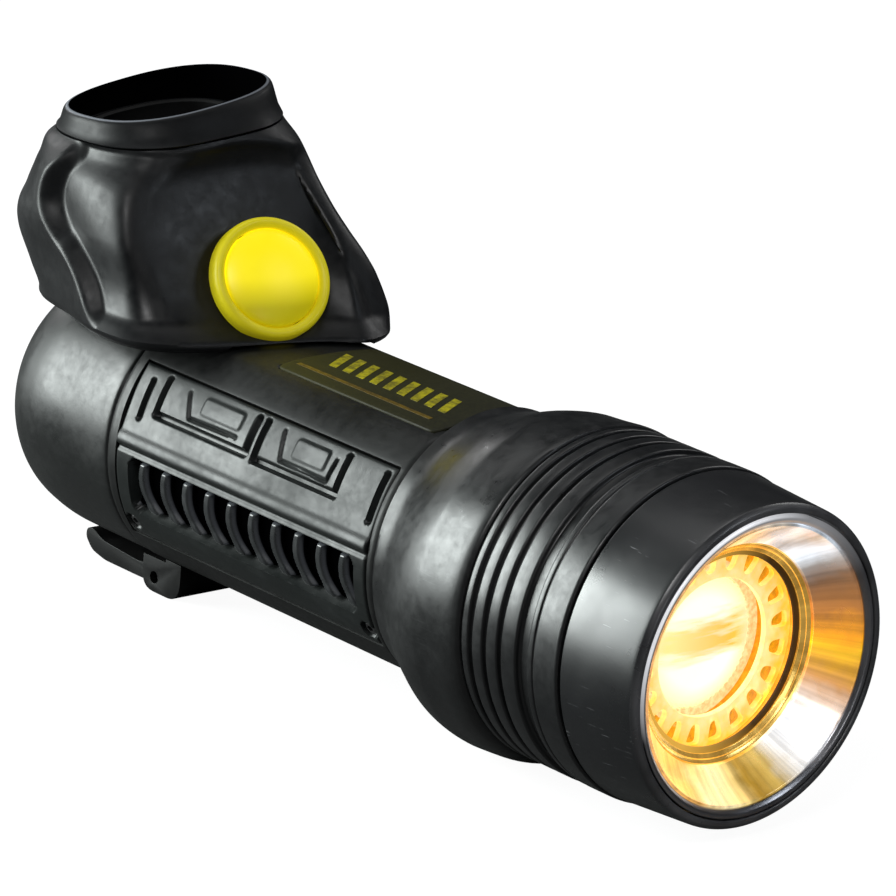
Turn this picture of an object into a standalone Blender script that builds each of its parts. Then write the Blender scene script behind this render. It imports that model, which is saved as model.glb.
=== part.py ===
"""Firefighter flashlight: a short, heavy hand lamp with a grooved focus head and a hooded push switch.

World frame: +X is the beam, +Z is up, the lowest point is at Z = 0 and the box is centred on X and Y.
All numbers below are millimetres. Positions along the lamp are measured back from the front rim,
and heights are measured from the beam axis, until the last step turns them into world metres.
"""
import math

import bmesh
import bpy
import numpy as np
from mathutils import Matrix, Vector

MM = 0.001

# ---- overall layout ----
LENGTH = 212.0
AXIS_Z = 35.6
FRONT_X = 106.0
BARREL_R = 29.2
SHOULDER_R = 35.7
FOOT_Z = -35.6
SEGS = 28

# ---- head ----
BEZEL_BACK = -20.0
RING_FRONT = -20.3
RING_BACK = -48.3
RING_R = 34.6
RING_BORE = 31.0
SLEEVE_R = 30.6
SLEEVE_FRONT = -20.6
SLEEVE_BORE = 28.4
NARROW_GROOVES = (-37.1, -41.5, -45.6)
GROOVE_HALF = 0.6
GROOVE_DEPTH = 1.1
WIDE_GROOVE = (-28.9, -32.3)
SLOT_COUNT = 20
LENS_TRAVEL = 2.5

# ---- barrel ----
HOUSING_FRONT = -81.4
HOUSING_BACK = -168.2
BORE_R = 22.6
DECK_Z = 25.4
DECK_HALF = 14.0
PANEL_FRONT = -83.8
PANEL_BACK = -164.8
PANEL_TOP_DEG = 41.0
PANEL_LOW_DEG = -38.0
PANEL_IN_R = 26.2
POCKET_R = 25.8
WINDOW_TOP_DEG = 1.0
WINDOW_LOW_DEG = -24.0
WINDOW_FRONT = -87.5
WINDOW_BACK = -160.5
RIB_COUNT = 10
LABEL_FRONT = -84.0
LABEL_BACK = -134.0

# ---- switch hood ----
# height, centre x, centre y, turn in degrees, half length, half width, flat front
TOWER_ROWS = ((25.0, -169.8, -0.4, -18.0, 31.4, 31.6, 26.0),
              (26.6, -170.2, -0.4, -18.0, 32.8, 32.8, 27.0),
              (36.0, -174.6, -1.6, -16.0, 34.0, 31.8, 25.2),
              (45.0, -177.8, -3.6, -12.0, 33.2, 31.2, 22.8),
              (54.0, -182.0, -4.4, -8.0, 29.4, 28.8, 21.4),
              (60.0, -185.0, -3.4, -4.0, 25.0, 25.8, 20.8),
              (63.5, -186.8, -3.0, -2.0, 20.8, 23.2, 20.2),
              (69.5, -188.3, -2.8, 0.0, 17.4, 22.0, 20.0))
# depth of the dished front at each height, and where its near and far lips run round the hood
DISH_Z = (27.4, 28.6, 30.5, 38.0, 46.0, 54.0, 58.5, 61.0, 63.0)
DISH_DEPTH = (0.0, 1.8, 3.4, 4.4, 4.6, 4.2, 3.6, 2.2, 0.0)
LIP_Z = (25.0, 35.0, 48.0, 60.0, 69.5)
NEAR_LIP_DEG = (-75.0, -83.0, -100.0, -94.0, -90.0)
FAR_LIP_DEG = (62.0, 62.0, 60.0, 57.0, 54.0)
DISH_ARCH = 4.0
# swelling of the rear right quarter and of the front left corner at each height
SWELL_Z = (25.0, 27.0, 31.5, 37.0, 41.0, 45.0, 49.0, 55.5, 60.0, 63.5)
REAR_SWELL = (6.0, 4.2, 4.6, 6.0, 4.6, 2.6, 0.4, -1.6, -1.0, 0.0)
FRONT_SWELL = (2.6, 3.2, 4.4, 4.2, 2.8, 1.0, 0.0, 0.0, 0.0, 0.0)
MOUTH_SIDE_RISE = 3.4
MOUTH_FRONT_RISE = 1.8
COLLAR_Z = 63.5
TOP_Z = 69.5
FACE_LEAN_DEG = 31.0
FACE_TURN_DEG = -14.0
BUTTON_CENTRE = (-150.2, -2.8, 38.6)
BUTTON_R = 10.6
BUTTON_RING_R = 13.2
BUTTON_TRAVEL = 1.5
SQUARE = 2.5
TOWER_SEGS = 60

# ---- tail ----
TAIL_FRONT = -168.6
TAIL_R = 29.0
TAIL_FLAT_R = 13.0
CELL_R = 9.1
CELL_LENGTH = 65.0
CELL_FRONT = -100.0
CELL_CIRCLE = 11.2

# ---- latch ----
LATCH_PIVOT = (-171.4, -32.4)
LATCH_HALF = 9.0


def clear_scene():
    for item in list(bpy.data.objects):
        bpy.data.objects.remove(item, do_unlink=True)


def material(name, color, metal, rough):
    made = bpy.data.materials.new(name)
    made.use_nodes = True
    shader = made.node_tree.nodes["Principled BSDF"]
    shader.inputs["Base Color"].default_value = (color[0], color[1], color[2], 1.0)
    shader.inputs["Metallic"].default_value = metal
    shader.inputs["Roughness"].default_value = rough
    return made


def finish(name, bm, color, metal, rough, origin=(0.0, 0.0, 0.0), sharp=35.0):
    """Write a bmesh in lamp millimetres as a world object with its origin at the given lamp point."""
    bmesh.ops.recalc_face_normals(bm, faces=bm.faces[:])
    mesh = bpy.data.meshes.new(name)
    bm.to_mesh(mesh)
    bm.free()
    start = Vector(origin)
    mesh.transform(Matrix.Scale(MM, 4) @ Matrix.Translation(-start))
    item = bpy.data.objects.new(name, mesh)
    item.location = Vector((FRONT_X + start.x, start.y, AXIS_Z + start.z)) * MM
    bpy.context.scene.collection.objects.link(item)
    mesh.materials.append(material(name, color, metal, rough))
    for face in mesh.polygons:
        face.use_smooth = True
    mesh.set_sharp_from_angle(angle=math.radians(sharp))
    return item


def ring_points(x, radius, segs):
    found = []
    for step in range(segs):
        turn = math.tau * step / segs
        found.append((x, radius * math.cos(turn), radius * math.sin(turn)))
    return found


def skin(bm, loops, closed):
    """Join equal loops of points into one surface. A loop with one point closes to a tip."""
    rows = [[bm.verts.new(point) for point in loop] for loop in loops]
    count = len(rows)
    for index in range(count if closed else count - 1):
        first = rows[index]
        second = rows[(index + 1) % count]
        size = max(len(first), len(second))
        for step in range(size):
            after = (step + 1) % size
            if len(first) == 1:
                bm.faces.new((first[0], second[after], second[step]))
            elif len(second) == 1:
                bm.faces.new((first[step], first[after], second[0]))
            else:
                bm.faces.new((first[step], first[after], second[after], second[step]))
    if not closed:
        if len(rows[0]) > 1:
            bm.faces.new(list(reversed(rows[0])))
        if len(rows[-1]) > 1:
            bm.faces.new(rows[-1])
    return bm


def lathe(profile, segs=SEGS, solid=False):
    """Revolve (x, radius) points about the lamp axis. A solid profile starts and ends on the axis."""
    loops = []
    for x, radius in profile:
        if radius == 0.0:
            loops.append([(x, 0.0, 0.0)])
        else:
            loops.append(ring_points(x, radius, segs))
    return skin(bmesh.new(), loops, not solid)


def extrude_outline(points, low, high, place):
    """Raise a flat outline between two levels; place(u, v, w) gives the lamp point."""
    loops = [[place(u, v, low) for u, v in points], [place(u, v, high) for u, v in points]]
    return skin(bmesh.new(), loops, False)


def block(low, high):
    """A plain block between two lamp corners."""
    outline = ((low[0], low[1]), (high[0], low[1]), (high[0], high[1]), (low[0], high[1]))
    return extrude_outline(outline, low[2], high[2], lambda u, v, w: (u, v, w))


def moved(bm, matrix):
    bmesh.ops.transform(bm, matrix=matrix, verts=bm.verts[:])
    return bm


def along(bm, origin, direction):
    """Stand a lathed piece (made along +X from 0) at a lamp point, pointing in a direction."""
    turn = Vector((1.0, 0.0, 0.0)).rotation_difference(Vector(direction).normalized())
    return moved(bm, Matrix.Translation(Vector(origin)) @ turn.to_matrix().to_4x4())


def scratch(bm):
    mesh = bpy.data.meshes.new("tool")
    bmesh.ops.recalc_face_normals(bm, faces=bm.faces[:])
    bm.to_mesh(mesh)
    bm.free()
    item = bpy.data.objects.new("tool", mesh)
    bpy.context.scene.collection.objects.link(item)
    return item


def combine(base, tool, operation):
    """Boolean two bmeshes and hand back the result as a new bmesh."""
    first = scratch(base)
    second = scratch(tool)
    step = first.modifiers.new("cut", "BOOLEAN")
    step.operation = operation
    step.solver = "EXACT"
    step.object = second
    graph = bpy.context.evaluated_depsgraph_get()
    shaped = first.evaluated_get(graph)
    result = bmesh.new()
    result.from_mesh(shaped.to_mesh())
    shaped.to_mesh_clear()
    bpy.data.objects.remove(first, do_unlink=True)
    bpy.data.objects.remove(second, do_unlink=True)
    bmesh.ops.remove_doubles(result, verts=result.verts[:], dist=0.002)
    bmesh.ops.dissolve_degenerate(result, dist=0.002, edges=result.edges[:])
    return result


def cut(base, tool):
    return combine(base, tool, "DIFFERENCE")


def add(base, tool):
    return combine(base, tool, "UNION")


def polar(x, degrees, radius, side):
    """A point on the barrel wall. Side -1 is the lamp's right, +1 its left; 0 degrees is level."""
    turn = math.radians(degrees)
    return (x, side * radius * math.cos(turn), radius * math.sin(turn))


def tube(points, radius, sides):
    """Sweep a round wire along a list of lamp points, with flat closed ends."""
    loops = []
    count = len(points)
    lean = None
    for index, point in enumerate(points):
        before = Vector(points[max(index - 1, 0)])
        after = Vector(points[min(index + 1, count - 1)])
        heading = (after - before).normalized()
        if lean is None:
            lean = heading.orthogonal().normalized()
        lean = (lean - heading * lean.dot(heading)).normalized()
        other = heading.cross(lean)
        loop = []
        for step in range(sides):
            turn = math.tau * step / sides
            loop.append(Vector(point) + (lean * math.cos(turn) + other * math.sin(turn)) * radius)
        loops.append(loop)
    return skin(bmesh.new(), loops, False)


def helix(radius, length, turns, steps):
    """Points of a coil about +X from 0, with a level turn at both ends."""
    found = []
    total = int(turns * steps)
    for step in range(total + 1):
        part = step / total
        ramp = min(max((part * turns - 0.75) / (turns - 1.5), 0.0), 1.0)
        turn = math.tau * step / steps
        found.append(Vector((length * ramp, radius * math.cos(turn), radius * math.sin(turn))))
    return found


# ------------------------------------------------------------------ head

def build_bezel():
    profile = [(-0.8, 33.0), (0.0, 32.3), (0.0, 31.0), (-3.8, 31.0), (-3.8, 29.5), (-14.2, 29.5),
               (-14.2, 26.4), (-30.0, 26.4), (-30.0, 28.0), (-26.9, 28.0), (-26.9, 26.95),
               (-24.7, 26.95), (-24.7, 28.0), (BEZEL_BACK, 28.0), (BEZEL_BACK, 33.8),
               (BEZEL_BACK + 0.4, 34.2)]
    finish("bezel_shell", lathe(profile, SEGS), (0.02, 0.021, 0.023), 0.7, 0.38)


def build_lip_ring():
    profile = [(-0.5, 28.9), (0.0, 29.3), (0.0, 30.3), (-0.4, 30.7), (-3.5, 30.7), (-3.5, 28.9)]
    finish("front_lip_ring", lathe(profile, SEGS), (0.03, 0.03, 0.033), 0.8, 0.3)


def build_cone():
    profile = [(-0.9, 28.3), (-8.6, 22.6), (-9.4, 22.6), (-9.4, 23.6), (-5.6, 26.6), (-5.6, 29.2),
               (-3.9, 29.2), (-3.9, 28.6), (-0.9, 28.6)]
    finish("reflector_cone", lathe(profile, SEGS), (0.85, 0.86, 0.88), 1.0, 0.16)


def build_seat_ring():
    profile = [(-9.0, 22.3), (-10.2, 20.6), (-10.6, 20.6), (-10.6, 21.3), (-13.9, 21.3),
               (-13.9, 29.2), (-9.7, 29.2), (-9.7, 22.3)]
    finish("lens_seat_ring", lathe(profile, SEGS), (0.86, 0.6, 0.2), 1.0, 0.25)


def build_gasket():
    profile = [(-10.9, 19.5), (-11.5, 19.5), (-11.5, 21.0), (-10.9, 21.0)]
    finish("lens_gasket", lathe(profile, 24), (0.02, 0.02, 0.02), 0.0, 0.8)


def build_front_lens():
    profile = [(-13.1, 0.0), (-13.1, 20.9), (-11.8, 20.9), (-11.8, 0.0)]
    finish("front_lens", lathe(profile, 24, True), (0.95, 0.95, 0.92), 0.0, 0.05)


def build_ring_plate():
    """Gold ring round the main lens, pierced by evenly spaced rounded slots."""
    plate = lathe([(-13.4, 14.2), (-14.8, 14.2), (-14.8, 20.9), (-13.4, 20.9)])
    tools = bmesh.new()
    for index in range(SLOT_COUNT):
        turn = math.tau * (index + 0.5) / SLOT_COUNT
        outline = ((-1.6, 0.7), (-0.4, 1.3), (1.7, 1.1), (1.7, -1.1), (-0.4, -1.3), (-1.6, -0.7))
        loops = []
        for level in (-15.6, -12.6):
            loop = []
            for out, side in outline:
                radius = 17.7 + out
                y = radius * math.cos(turn) - side * math.sin(turn)
                z = radius * math.sin(turn) + side * math.cos(turn)
                loop.append((level, y, z))
            loops.append(loop)
        skin(tools, loops, False)
    finish("led_ring_plate", cut(plate, tools), (0.9, 0.62, 0.16), 1.0, 0.28)


def build_light_engine():
    body = [(-15.2, 17.0), (-29.6, 17.0), (-29.6, 26.0), (-15.2, 26.0)]
    finish("led_module_body", lathe(body, SEGS), (0.6, 0.5, 0.3), 1.0, 0.35)
    carrier = [(-18.2, 14.0), (-26.0, 14.0), (-26.0, 16.6), (-18.2, 16.6)]
    finish("lens_carrier", lathe(carrier, 24), (0.03, 0.03, 0.03), 0.0, 0.5)
    lens = [(-26.0, 4.2), (-26.0, 6.4), (-21.0, 12.4), (-20.0, 13.6), (-16.6, 13.6), (-16.4, 0.0)]
    bm = lathe([(-21.5, 0.0), (-21.9, 3.2)] + lens, 24, True)
    finish("collimator_lens", bm, (1.0, 0.9, 0.6), 0.0, 0.08)
    dome = [(-29.6, 0.0), (-29.6, 2.9), (-28.4, 2.9), (-27.2, 2.3), (-26.4, 1.2), (-26.2, 0.0)]
    finish("led_emitter", lathe(dome, 16, True), (1.0, 0.85, 0.4), 0.0, 0.3)
    board = [(-31.5, 0.0), (-31.5, 15.9), (-29.9, 15.9), (-29.9, 0.0)]
    finish("led_board", lathe(board, 24, True), (0.85, 0.86, 0.84), 0.0, 0.5)
    sink = [(-48.0, 0.0), (-48.0, 20.0), (-43.0, 20.0), (-43.0, 27.9), (-41.6, 27.9), (-41.6, 20.0),
            (-38.6, 20.0), (-38.6, 27.9), (-37.2, 27.9), (-37.2, 20.0), (-34.0, 20.0),
            (-34.0, 27.9), (-31.8, 27.9), (-31.8, 0.0)]
    finish("heat_sink", lathe(sink, 16, True), (0.5, 0.52, 0.54), 1.0, 0.4)
    driver = [(-52.0, 0.0), (-52.0, 20.5), (-50.4, 20.5), (-50.4, 0.0)]
    finish("driver_board", lathe(driver, 24, True), (0.05, 0.25, 0.1), 0.0, 0.5)
    contact = [(-58.0, 0.0), (-58.0, 2.0), (-57.0, 3.0), (-52.3, 3.0), (-52.3, 0.0)]
    finish("front_contact", lathe(contact, 16, True), (0.8, 0.6, 0.25), 1.0, 0.3)
    coil = tube([Vector((-69.5, 0.0, 0.0)) + p for p in helix(6.0, 10.0, 3.5, 8)], 0.5, 4)
    finish("battery_spring", coil, (0.7, 0.7, 0.72), 1.0, 0.3)
    plate = [(-73.0, 0.0), (-73.0, 17.5), (-71.5, 17.5), (-71.5, 0.0)]
    finish("contact_disc", lathe(plate, 24, True), (0.78, 0.6, 0.3), 1.0, 0.35)


def build_head_oring():
    profile = [(-25.0, 27.2), (-26.6, 27.2), (-26.6, 28.15), (-25.0, 28.15)]
    finish("head_oring", lathe(profile, SEGS), (0.35, 0.05, 0.03), 0.0, 0.6)


def build_focus_ring():
    low = RING_R - GROOVE_DEPTH
    profile = [(RING_FRONT, RING_BORE), (RING_FRONT, RING_R - 0.4), (RING_FRONT - 0.4, RING_R),
               (WIDE_GROOVE[0], RING_R), (WIDE_GROOVE[0], low), (WIDE_GROOVE[1], low),
               (WIDE_GROOVE[1], RING_R)]
    for middle in NARROW_GROOVES:
        profile.append((middle + GROOVE_HALF, RING_R))
        profile.append((middle + GROOVE_HALF, low))
        profile.append((middle - GROOVE_HALF, low))
        profile.append((middle - GROOVE_HALF, RING_R))
    profile.append((RING_BACK + 0.4, RING_R))
    profile.append((RING_BACK, RING_R - 0.4))
    profile.append((RING_BACK, RING_BORE))
    finish("focus_ring", lathe(profile, SEGS), (0.018, 0.019, 0.021), 0.6, 0.4)


def bell_rows():
    """Outside of the bell, a little deeper below than above: (x, radius, drop of the centre)."""
    return ((-48.6, 34.8, 0.0), (-50.4, 35.4, 0.5), (-54.0, SHOULDER_R, 1.1), (-61.0, SHOULDER_R, 1.6),
            (-67.0, 34.6, 1.9), (-72.0, 32.6, 1.6), (-76.5, 30.6, 0.8), (-81.0, 29.6, 0.0))


def build_head_shell():
    loops = [ring_points(SLEEVE_FRONT, SLEEVE_R, SEGS), ring_points(-48.6, SLEEVE_R, SEGS)]
    for x, radius, drop in bell_rows():
        loops.append([(px, y, z - drop) for px, y, z in ring_points(x, radius, SEGS)])
    for x, radius in ((-81.0, 27.1), (-70.0, 27.1), (-70.0, 26.0), (-53.0, 26.0), (-48.6, SLEEVE_BORE),
                      (SLEEVE_FRONT, SLEEVE_BORE)):
        loops.append(ring_points(x, radius, SEGS))
    shell = skin(bmesh.new(), loops, True)
    flat = block((-90.0, -20.0, -45.0), (-48.0, 20.0, FOOT_Z))
    finish("head_shell", cut(shell, flat), (0.02, 0.021, 0.023), 0.7, 0.36)


# ------------------------------------------------------------------ barrel

def housing_section(x, inset):
    """Round underside with a flattened, gently crowned deck on top."""
    found = []
    for step in range(SEGS):
        turn = math.tau * step / SEGS
        y = (BARREL_R - inset) * math.cos(turn)
        z = (BARREL_R - inset) * math.sin(turn)
        crown = DECK_Z - inset + 0.4 * (1.0 - min(abs(y) / DECK_HALF, 1.0) ** 2)
        found.append((x, y, min(z, crown)))
    return found


def side_pocket(side, back, front, low_deg, high_deg, inner, outer, bulge=6):
    """A curved slab following the barrel wall between two angles and two radii."""
    loops = []
    for step in range(bulge + 1):
        angle = low_deg + (high_deg - low_deg) * step / bulge
        loops.append([polar(back, angle, inner, side), polar(front, angle, inner, side),
                      polar(front, angle, outer, side), polar(back, angle, outer, side)])
    return skin(bmesh.new(), loops, False)


def build_housing():
    loops = [ring_points(-175.6, 24.7, SEGS), ring_points(-173.9, 24.7, SEGS),
             ring_points(-173.9, 23.9, SEGS), ring_points(-171.9, 23.9, SEGS),
             ring_points(-171.9, 24.7, SEGS), ring_points(HOUSING_BACK, 24.7, SEGS),
             housing_section(HOUSING_BACK, 0.5), housing_section(HOUSING_BACK + 0.5, 0.0),
             housing_section(HOUSING_FRONT - 0.4, 0.0), housing_section(HOUSING_FRONT, 0.4),
             ring_points(HOUSING_FRONT, 26.7, SEGS), ring_points(-70.4, 26.7, SEGS),
             ring_points(-70.4, BORE_R, SEGS), ring_points(-175.6, BORE_R, SEGS)]
    body = skin(bmesh.new(), loops, True)
    for side in (-1.0, 1.0):
        pocket = side_pocket(side, PANEL_BACK - 0.3, PANEL_FRONT + 0.3, PANEL_LOW_DEG - 0.7,
                             PANEL_TOP_DEG + 0.7, POCKET_R, 36.0)
        body = cut(body, pocket)
        for x in (PANEL_BACK + 2.4, PANEL_FRONT - 1.9):
            point = polar(x, -31.0, 24.4, side)
            heading = Vector(polar(0.0, -31.0, 1.0, side))
            body = cut(body, along(lathe([(0.0, 0.0), (0.0, 1.1), (4.0, 1.1), (4.0, 0.0)], 8, True),
                                   point, heading))
    label = block((LABEL_BACK - 0.3, -DECK_HALF + 0.2, DECK_Z - 0.9),
                  (LABEL_FRONT + 0.3, DECK_HALF - 0.2, DECK_Z + 4.0))
    body = cut(body, label)
    wire = along(lathe([(0.0, 0.0), (0.0, 3.5), (14.0, 3.5), (14.0, 0.0)], 12, True),
                 (-152.0, 0.0, 18.0), (0.0, 0.0, 1.0))
    body = cut(body, wire)
    for y in (-12.0, 12.0):
        hole = along(lathe([(0.0, 0.0), (0.0, 1.3), (14.0, 1.3), (14.0, 0.0)], 8, True),
                     (-163.0, y, 16.0), (0.0, 0.0, 1.0))
        body = cut(body, hole)
    hole = along(lathe([(0.0, 0.0), (0.0, 1.3), (14.0, 1.3), (14.0, 0.0)], 8, True),
                 (-165.2, 0.0, -35.0), (0.0, 0.0, 1.0))
    body = cut(body, hole)
    finish("main_housing", body, (0.022, 0.023, 0.025), 0.1, 0.42)


def panel_section():
    """Outer line of the side panel from its top edge to its lower edge: (degrees, radius)."""
    return ((PANEL_TOP_DEG, 29.3), (34.0, 29.0), (22.0, 28.6), (12.0, 28.9), (8.5, 29.7), (5.5, 29.7),
            (3.6, 28.9), (WINDOW_TOP_DEG, 29.3), (-12.0, 29.0), (WINDOW_LOW_DEG, 29.0),
            (-30.0, 29.4), (PANEL_LOW_DEG, 29.2))


def panel_groove(side, x_back, x_front, low_deg, high_deg):
    return side_pocket(side, x_back, x_front, low_deg, high_deg, 27.6, 34.0, 2)


def build_side_panel(side, name):
    loops = []
    for degrees, radius in panel_section():
        loops.append([polar(PANEL_BACK, degrees, PANEL_IN_R, side),
                      polar(PANEL_FRONT, degrees, PANEL_IN_R, side),
                      polar(PANEL_FRONT, degrees, radius, side),
                      polar(PANEL_BACK, degrees, radius, side)])
    panel = skin(bmesh.new(), loops, False)
    window = side_pocket(side, WINDOW_BACK, WINDOW_FRONT, WINDOW_LOW_DEG, WINDOW_TOP_DEG, 20.0, 40.0)
    panel = cut(panel, window)
    grooves = ((-161.2, -159.8, 17.0, 35.0), (-86.6, -85.2, 16.0, 38.0),
               (-156.6, -155.2, 20.5, 38.0), (-127.2, -125.8, 20.5, 38.0),
               (-155.2, -127.2, 20.5, 23.0),
               (-124.4, -123.0, 19.5, 38.0), (-98.4, -97.0, 19.5, 38.0),
               (-123.0, -98.4, 19.5, 22.0))
    for back, front, low, high in grooves:
        if back in (-155.2, -123.0):
            back = back - 0.3
            front = front + 0.3
        panel = cut(panel, panel_groove(side, back, front, low, high))
    for x in (PANEL_BACK + 2.4, PANEL_FRONT - 1.9):
        point = polar(x, -31.0, 24.4, side)
        heading = Vector(polar(0.0, -31.0, 1.0, side))
        panel = cut(panel, along(lathe([(0.0, 0.0), (0.0, 1.9), (8.0, 1.9), (8.0, 0.0)], 12, True),
                                 point, heading))
    finish(name, panel, (0.035, 0.038, 0.036), 0.0, 0.45)


def build_louvre(side, name):
    """Backing strip with raised ribs that shows through the side window."""
    back = WINDOW_BACK + 0.3
    front = WINDOW_FRONT - 0.3
    pitch = (front - back) / RIB_COUNT
    top = []
    for index in range(RIB_COUNT):
        start = back + pitch * index
        top.append((start + 0.9, 26.9))
        top.append((start + 2.0, 28.5))
        top.append((start + 4.6, 28.5))
        top.append((start + 5.6, 26.9))
    outline = [(back, 26.1), (back, 26.9)] + top + [(front, 26.9), (front, 26.1)]
    loops = []
    for step in range(3):
        angle = WINDOW_LOW_DEG + 0.7 + (WINDOW_TOP_DEG - WINDOW_LOW_DEG - 1.4) * step / 2.0
        loops.append([polar(x, angle, radius, side) for x, radius in outline])
    finish(name, skin(bmesh.new(), loops, False), (0.03, 0.031, 0.03), 0.0, 0.5)


def build_panel_screw(name, side, x):
    profile = [(0.0, 0.0), (0.0, 0.8), (1.9, 0.8), (1.9, 1.6), (3.6, 1.6), (4.1, 1.0), (4.1, 0.0)]
    heading = Vector(polar(0.0, -31.0, 1.0, side))
    bm = along(lathe(profile, 12, True), polar(x, -31.0, 24.7, side), heading)
    finish(name, bm, (0.3, 0.3, 0.31), 1.0, 0.35)


def build_label():
    loops = []
    for x in (LABEL_BACK, LABEL_FRONT):
        loop = []
        for step in range(7):
            y = (DECK_HALF - 0.1) * (step / 3.0 - 1.0)
            y = max(min(y, DECK_HALF - 0.2), -DECK_HALF + 0.2) * 0.975
            loop.append((x, y, DECK_Z + 0.15 + 0.85 * (1.0 - (y / DECK_HALF) ** 2)))
        half = (DECK_HALF - 0.2) * 0.975
        loop.append((x, half, DECK_Z - 0.6))
        loop.append((x, -half, DECK_Z - 0.6))
        loops.append(loop)
    finish("label_plate", skin(bmesh.new(), loops, False), (0.045, 0.045, 0.02), 0.0, 0.5)


# ------------------------------------------------------------------ switch hood

def tower_row(z):
    """Centre x and y, turn, half length, half width and flat front of the hood at one height."""
    rows = TOWER_ROWS
    if z <= rows[0][0]:
        return rows[0][1:]
    for low, high in zip(rows, rows[1:]):
        if z <= high[0]:
            part = (z - low[0]) / (high[0] - low[0])
            return tuple(a + (b - a) * part for a, b in zip(low[1:], high[1:]))
    return rows[-1][1:]


def tower_point(u, v, z):
    """Hood coordinates at one height: u towards the face, v to the lamp's left."""
    centre_x, centre_y, degrees, _, _, _ = tower_row(z)
    turn = math.radians(degrees)
    return (centre_x + u * math.cos(turn) - v * math.sin(turn),
            centre_y + u * math.sin(turn) + v * math.cos(turn), z)


def mouth_rise(z, x, y):
    """Tilt of the mouth: up towards the lamp's left and front."""
    part = min(max((z - 54.0) / 15.5, 0.0), 1.0)
    tilt = MOUTH_SIDE_RISE * (y + 3.0) / 24.0 + MOUTH_FRONT_RISE * (x + 188.0) / 24.0
    return tilt * part * part * (3.0 - 2.0 * part)


def swell(z, degrees):
    """How far the outline stands out beyond its oval at each angle."""
    rear = np.clip(1.0 - np.abs(degrees + 130.0) / 40.0, 0.0, 1.0)
    front = np.clip(1.0 - np.abs(degrees - 54.0) / 36.0, 0.0, 1.0)
    rear = rear * rear * (3.0 - 2.0 * rear) * np.interp(z, SWELL_Z, REAR_SWELL)
    return rear + front * front * (3.0 - 2.0 * front) * np.interp(z, SWELL_Z, FRONT_SWELL)


def dish_in(z, turn, u, v, half_v):
    """Hollow the outline in between the two lips and let it swell beyond them."""
    degrees = np.degrees(turn)
    near = np.clip((degrees - np.interp(z, LIP_Z, NEAR_LIP_DEG)) / 9.0, 0.0, 1.0)
    far = np.clip((np.interp(z, LIP_Z, FAR_LIP_DEG) - degrees) / 9.0, 0.0, 1.0)
    arch = DISH_ARCH * min(max((z - 44.0) / 16.0, 0.0), 1.0)
    depth = np.interp(z + arch * (v / half_v) ** 2, DISH_Z, DISH_DEPTH) * near * far - swell(z, degrees)
    along_u, along_v = np.gradient(u), np.gradient(v)
    size = np.maximum(np.hypot(along_u, along_v), 1e-9)
    return u - depth * along_v / size, v + depth * along_u / size


def oval(z, inset, limit=None, segs=TOWER_SEGS, lift=0.0, dished=False):
    """Even outline of the hood at one height, drawn in by an inset and cut flat at the face."""
    _, _, _, half_u, half_v, front = tower_row(z)
    stop = front - inset if limit is None else limit
    turn = np.linspace(-math.pi, math.pi, 10 * segs + 1)
    c, s = np.cos(turn), np.sin(turn)
    u = (half_u - inset) * np.sign(c) * np.abs(c) ** (2.0 / SQUARE)
    v = (half_v - inset) * np.sign(s) * np.abs(s) ** (2.0 / SQUARE)
    u = np.minimum(u, stop)
    if dished:
        u, v = dish_in(z, turn, u, v, half_v)
    length = np.concatenate(([0.0], np.cumsum(np.hypot(np.diff(u), np.diff(v)))))
    even = np.linspace(0.0, length[-1], segs, endpoint=False)
    found = []
    for p, q in zip(np.interp(even, length, u), np.interp(even, length, v)):
        x, y, _ = tower_point(float(p), float(q), z)
        found.append((x, y, z + lift + mouth_rise(z, x, y)))
    return found


def face_axes():
    """Centre of the button, the outward line it is pressed along, and the two lines across it."""
    lean = math.radians(FACE_LEAN_DEG)
    turn = math.radians(FACE_TURN_DEG)
    forward = Vector((math.cos(turn), math.sin(turn), 0.0))
    side = Vector((-math.sin(turn), math.cos(turn), 0.0))
    normal = forward * math.cos(lean) + Vector((0.0, 0.0, 1.0)) * math.sin(lean)
    upward = forward * -math.sin(lean) + Vector((0.0, 0.0, 1.0)) * math.cos(lean)
    return Vector(BUTTON_CENTRE), normal, upward, side


def face_round(radii_levels, segs):
    """Solid of revolution about the button line: (level along the face normal, radius) pairs."""
    centre, normal, upward, side = face_axes()
    loops = []
    for level, radius in radii_levels:
        if radius == 0.0:
            loops.append([centre + normal * level])
            continue
        loop = []
        for step in range(segs):
            turn = math.tau * step / segs
            loop.append(centre + normal * level
                        + (side * math.cos(turn) + upward * math.sin(turn)) * radius)
        loops.append(loop)
    return loops


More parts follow.
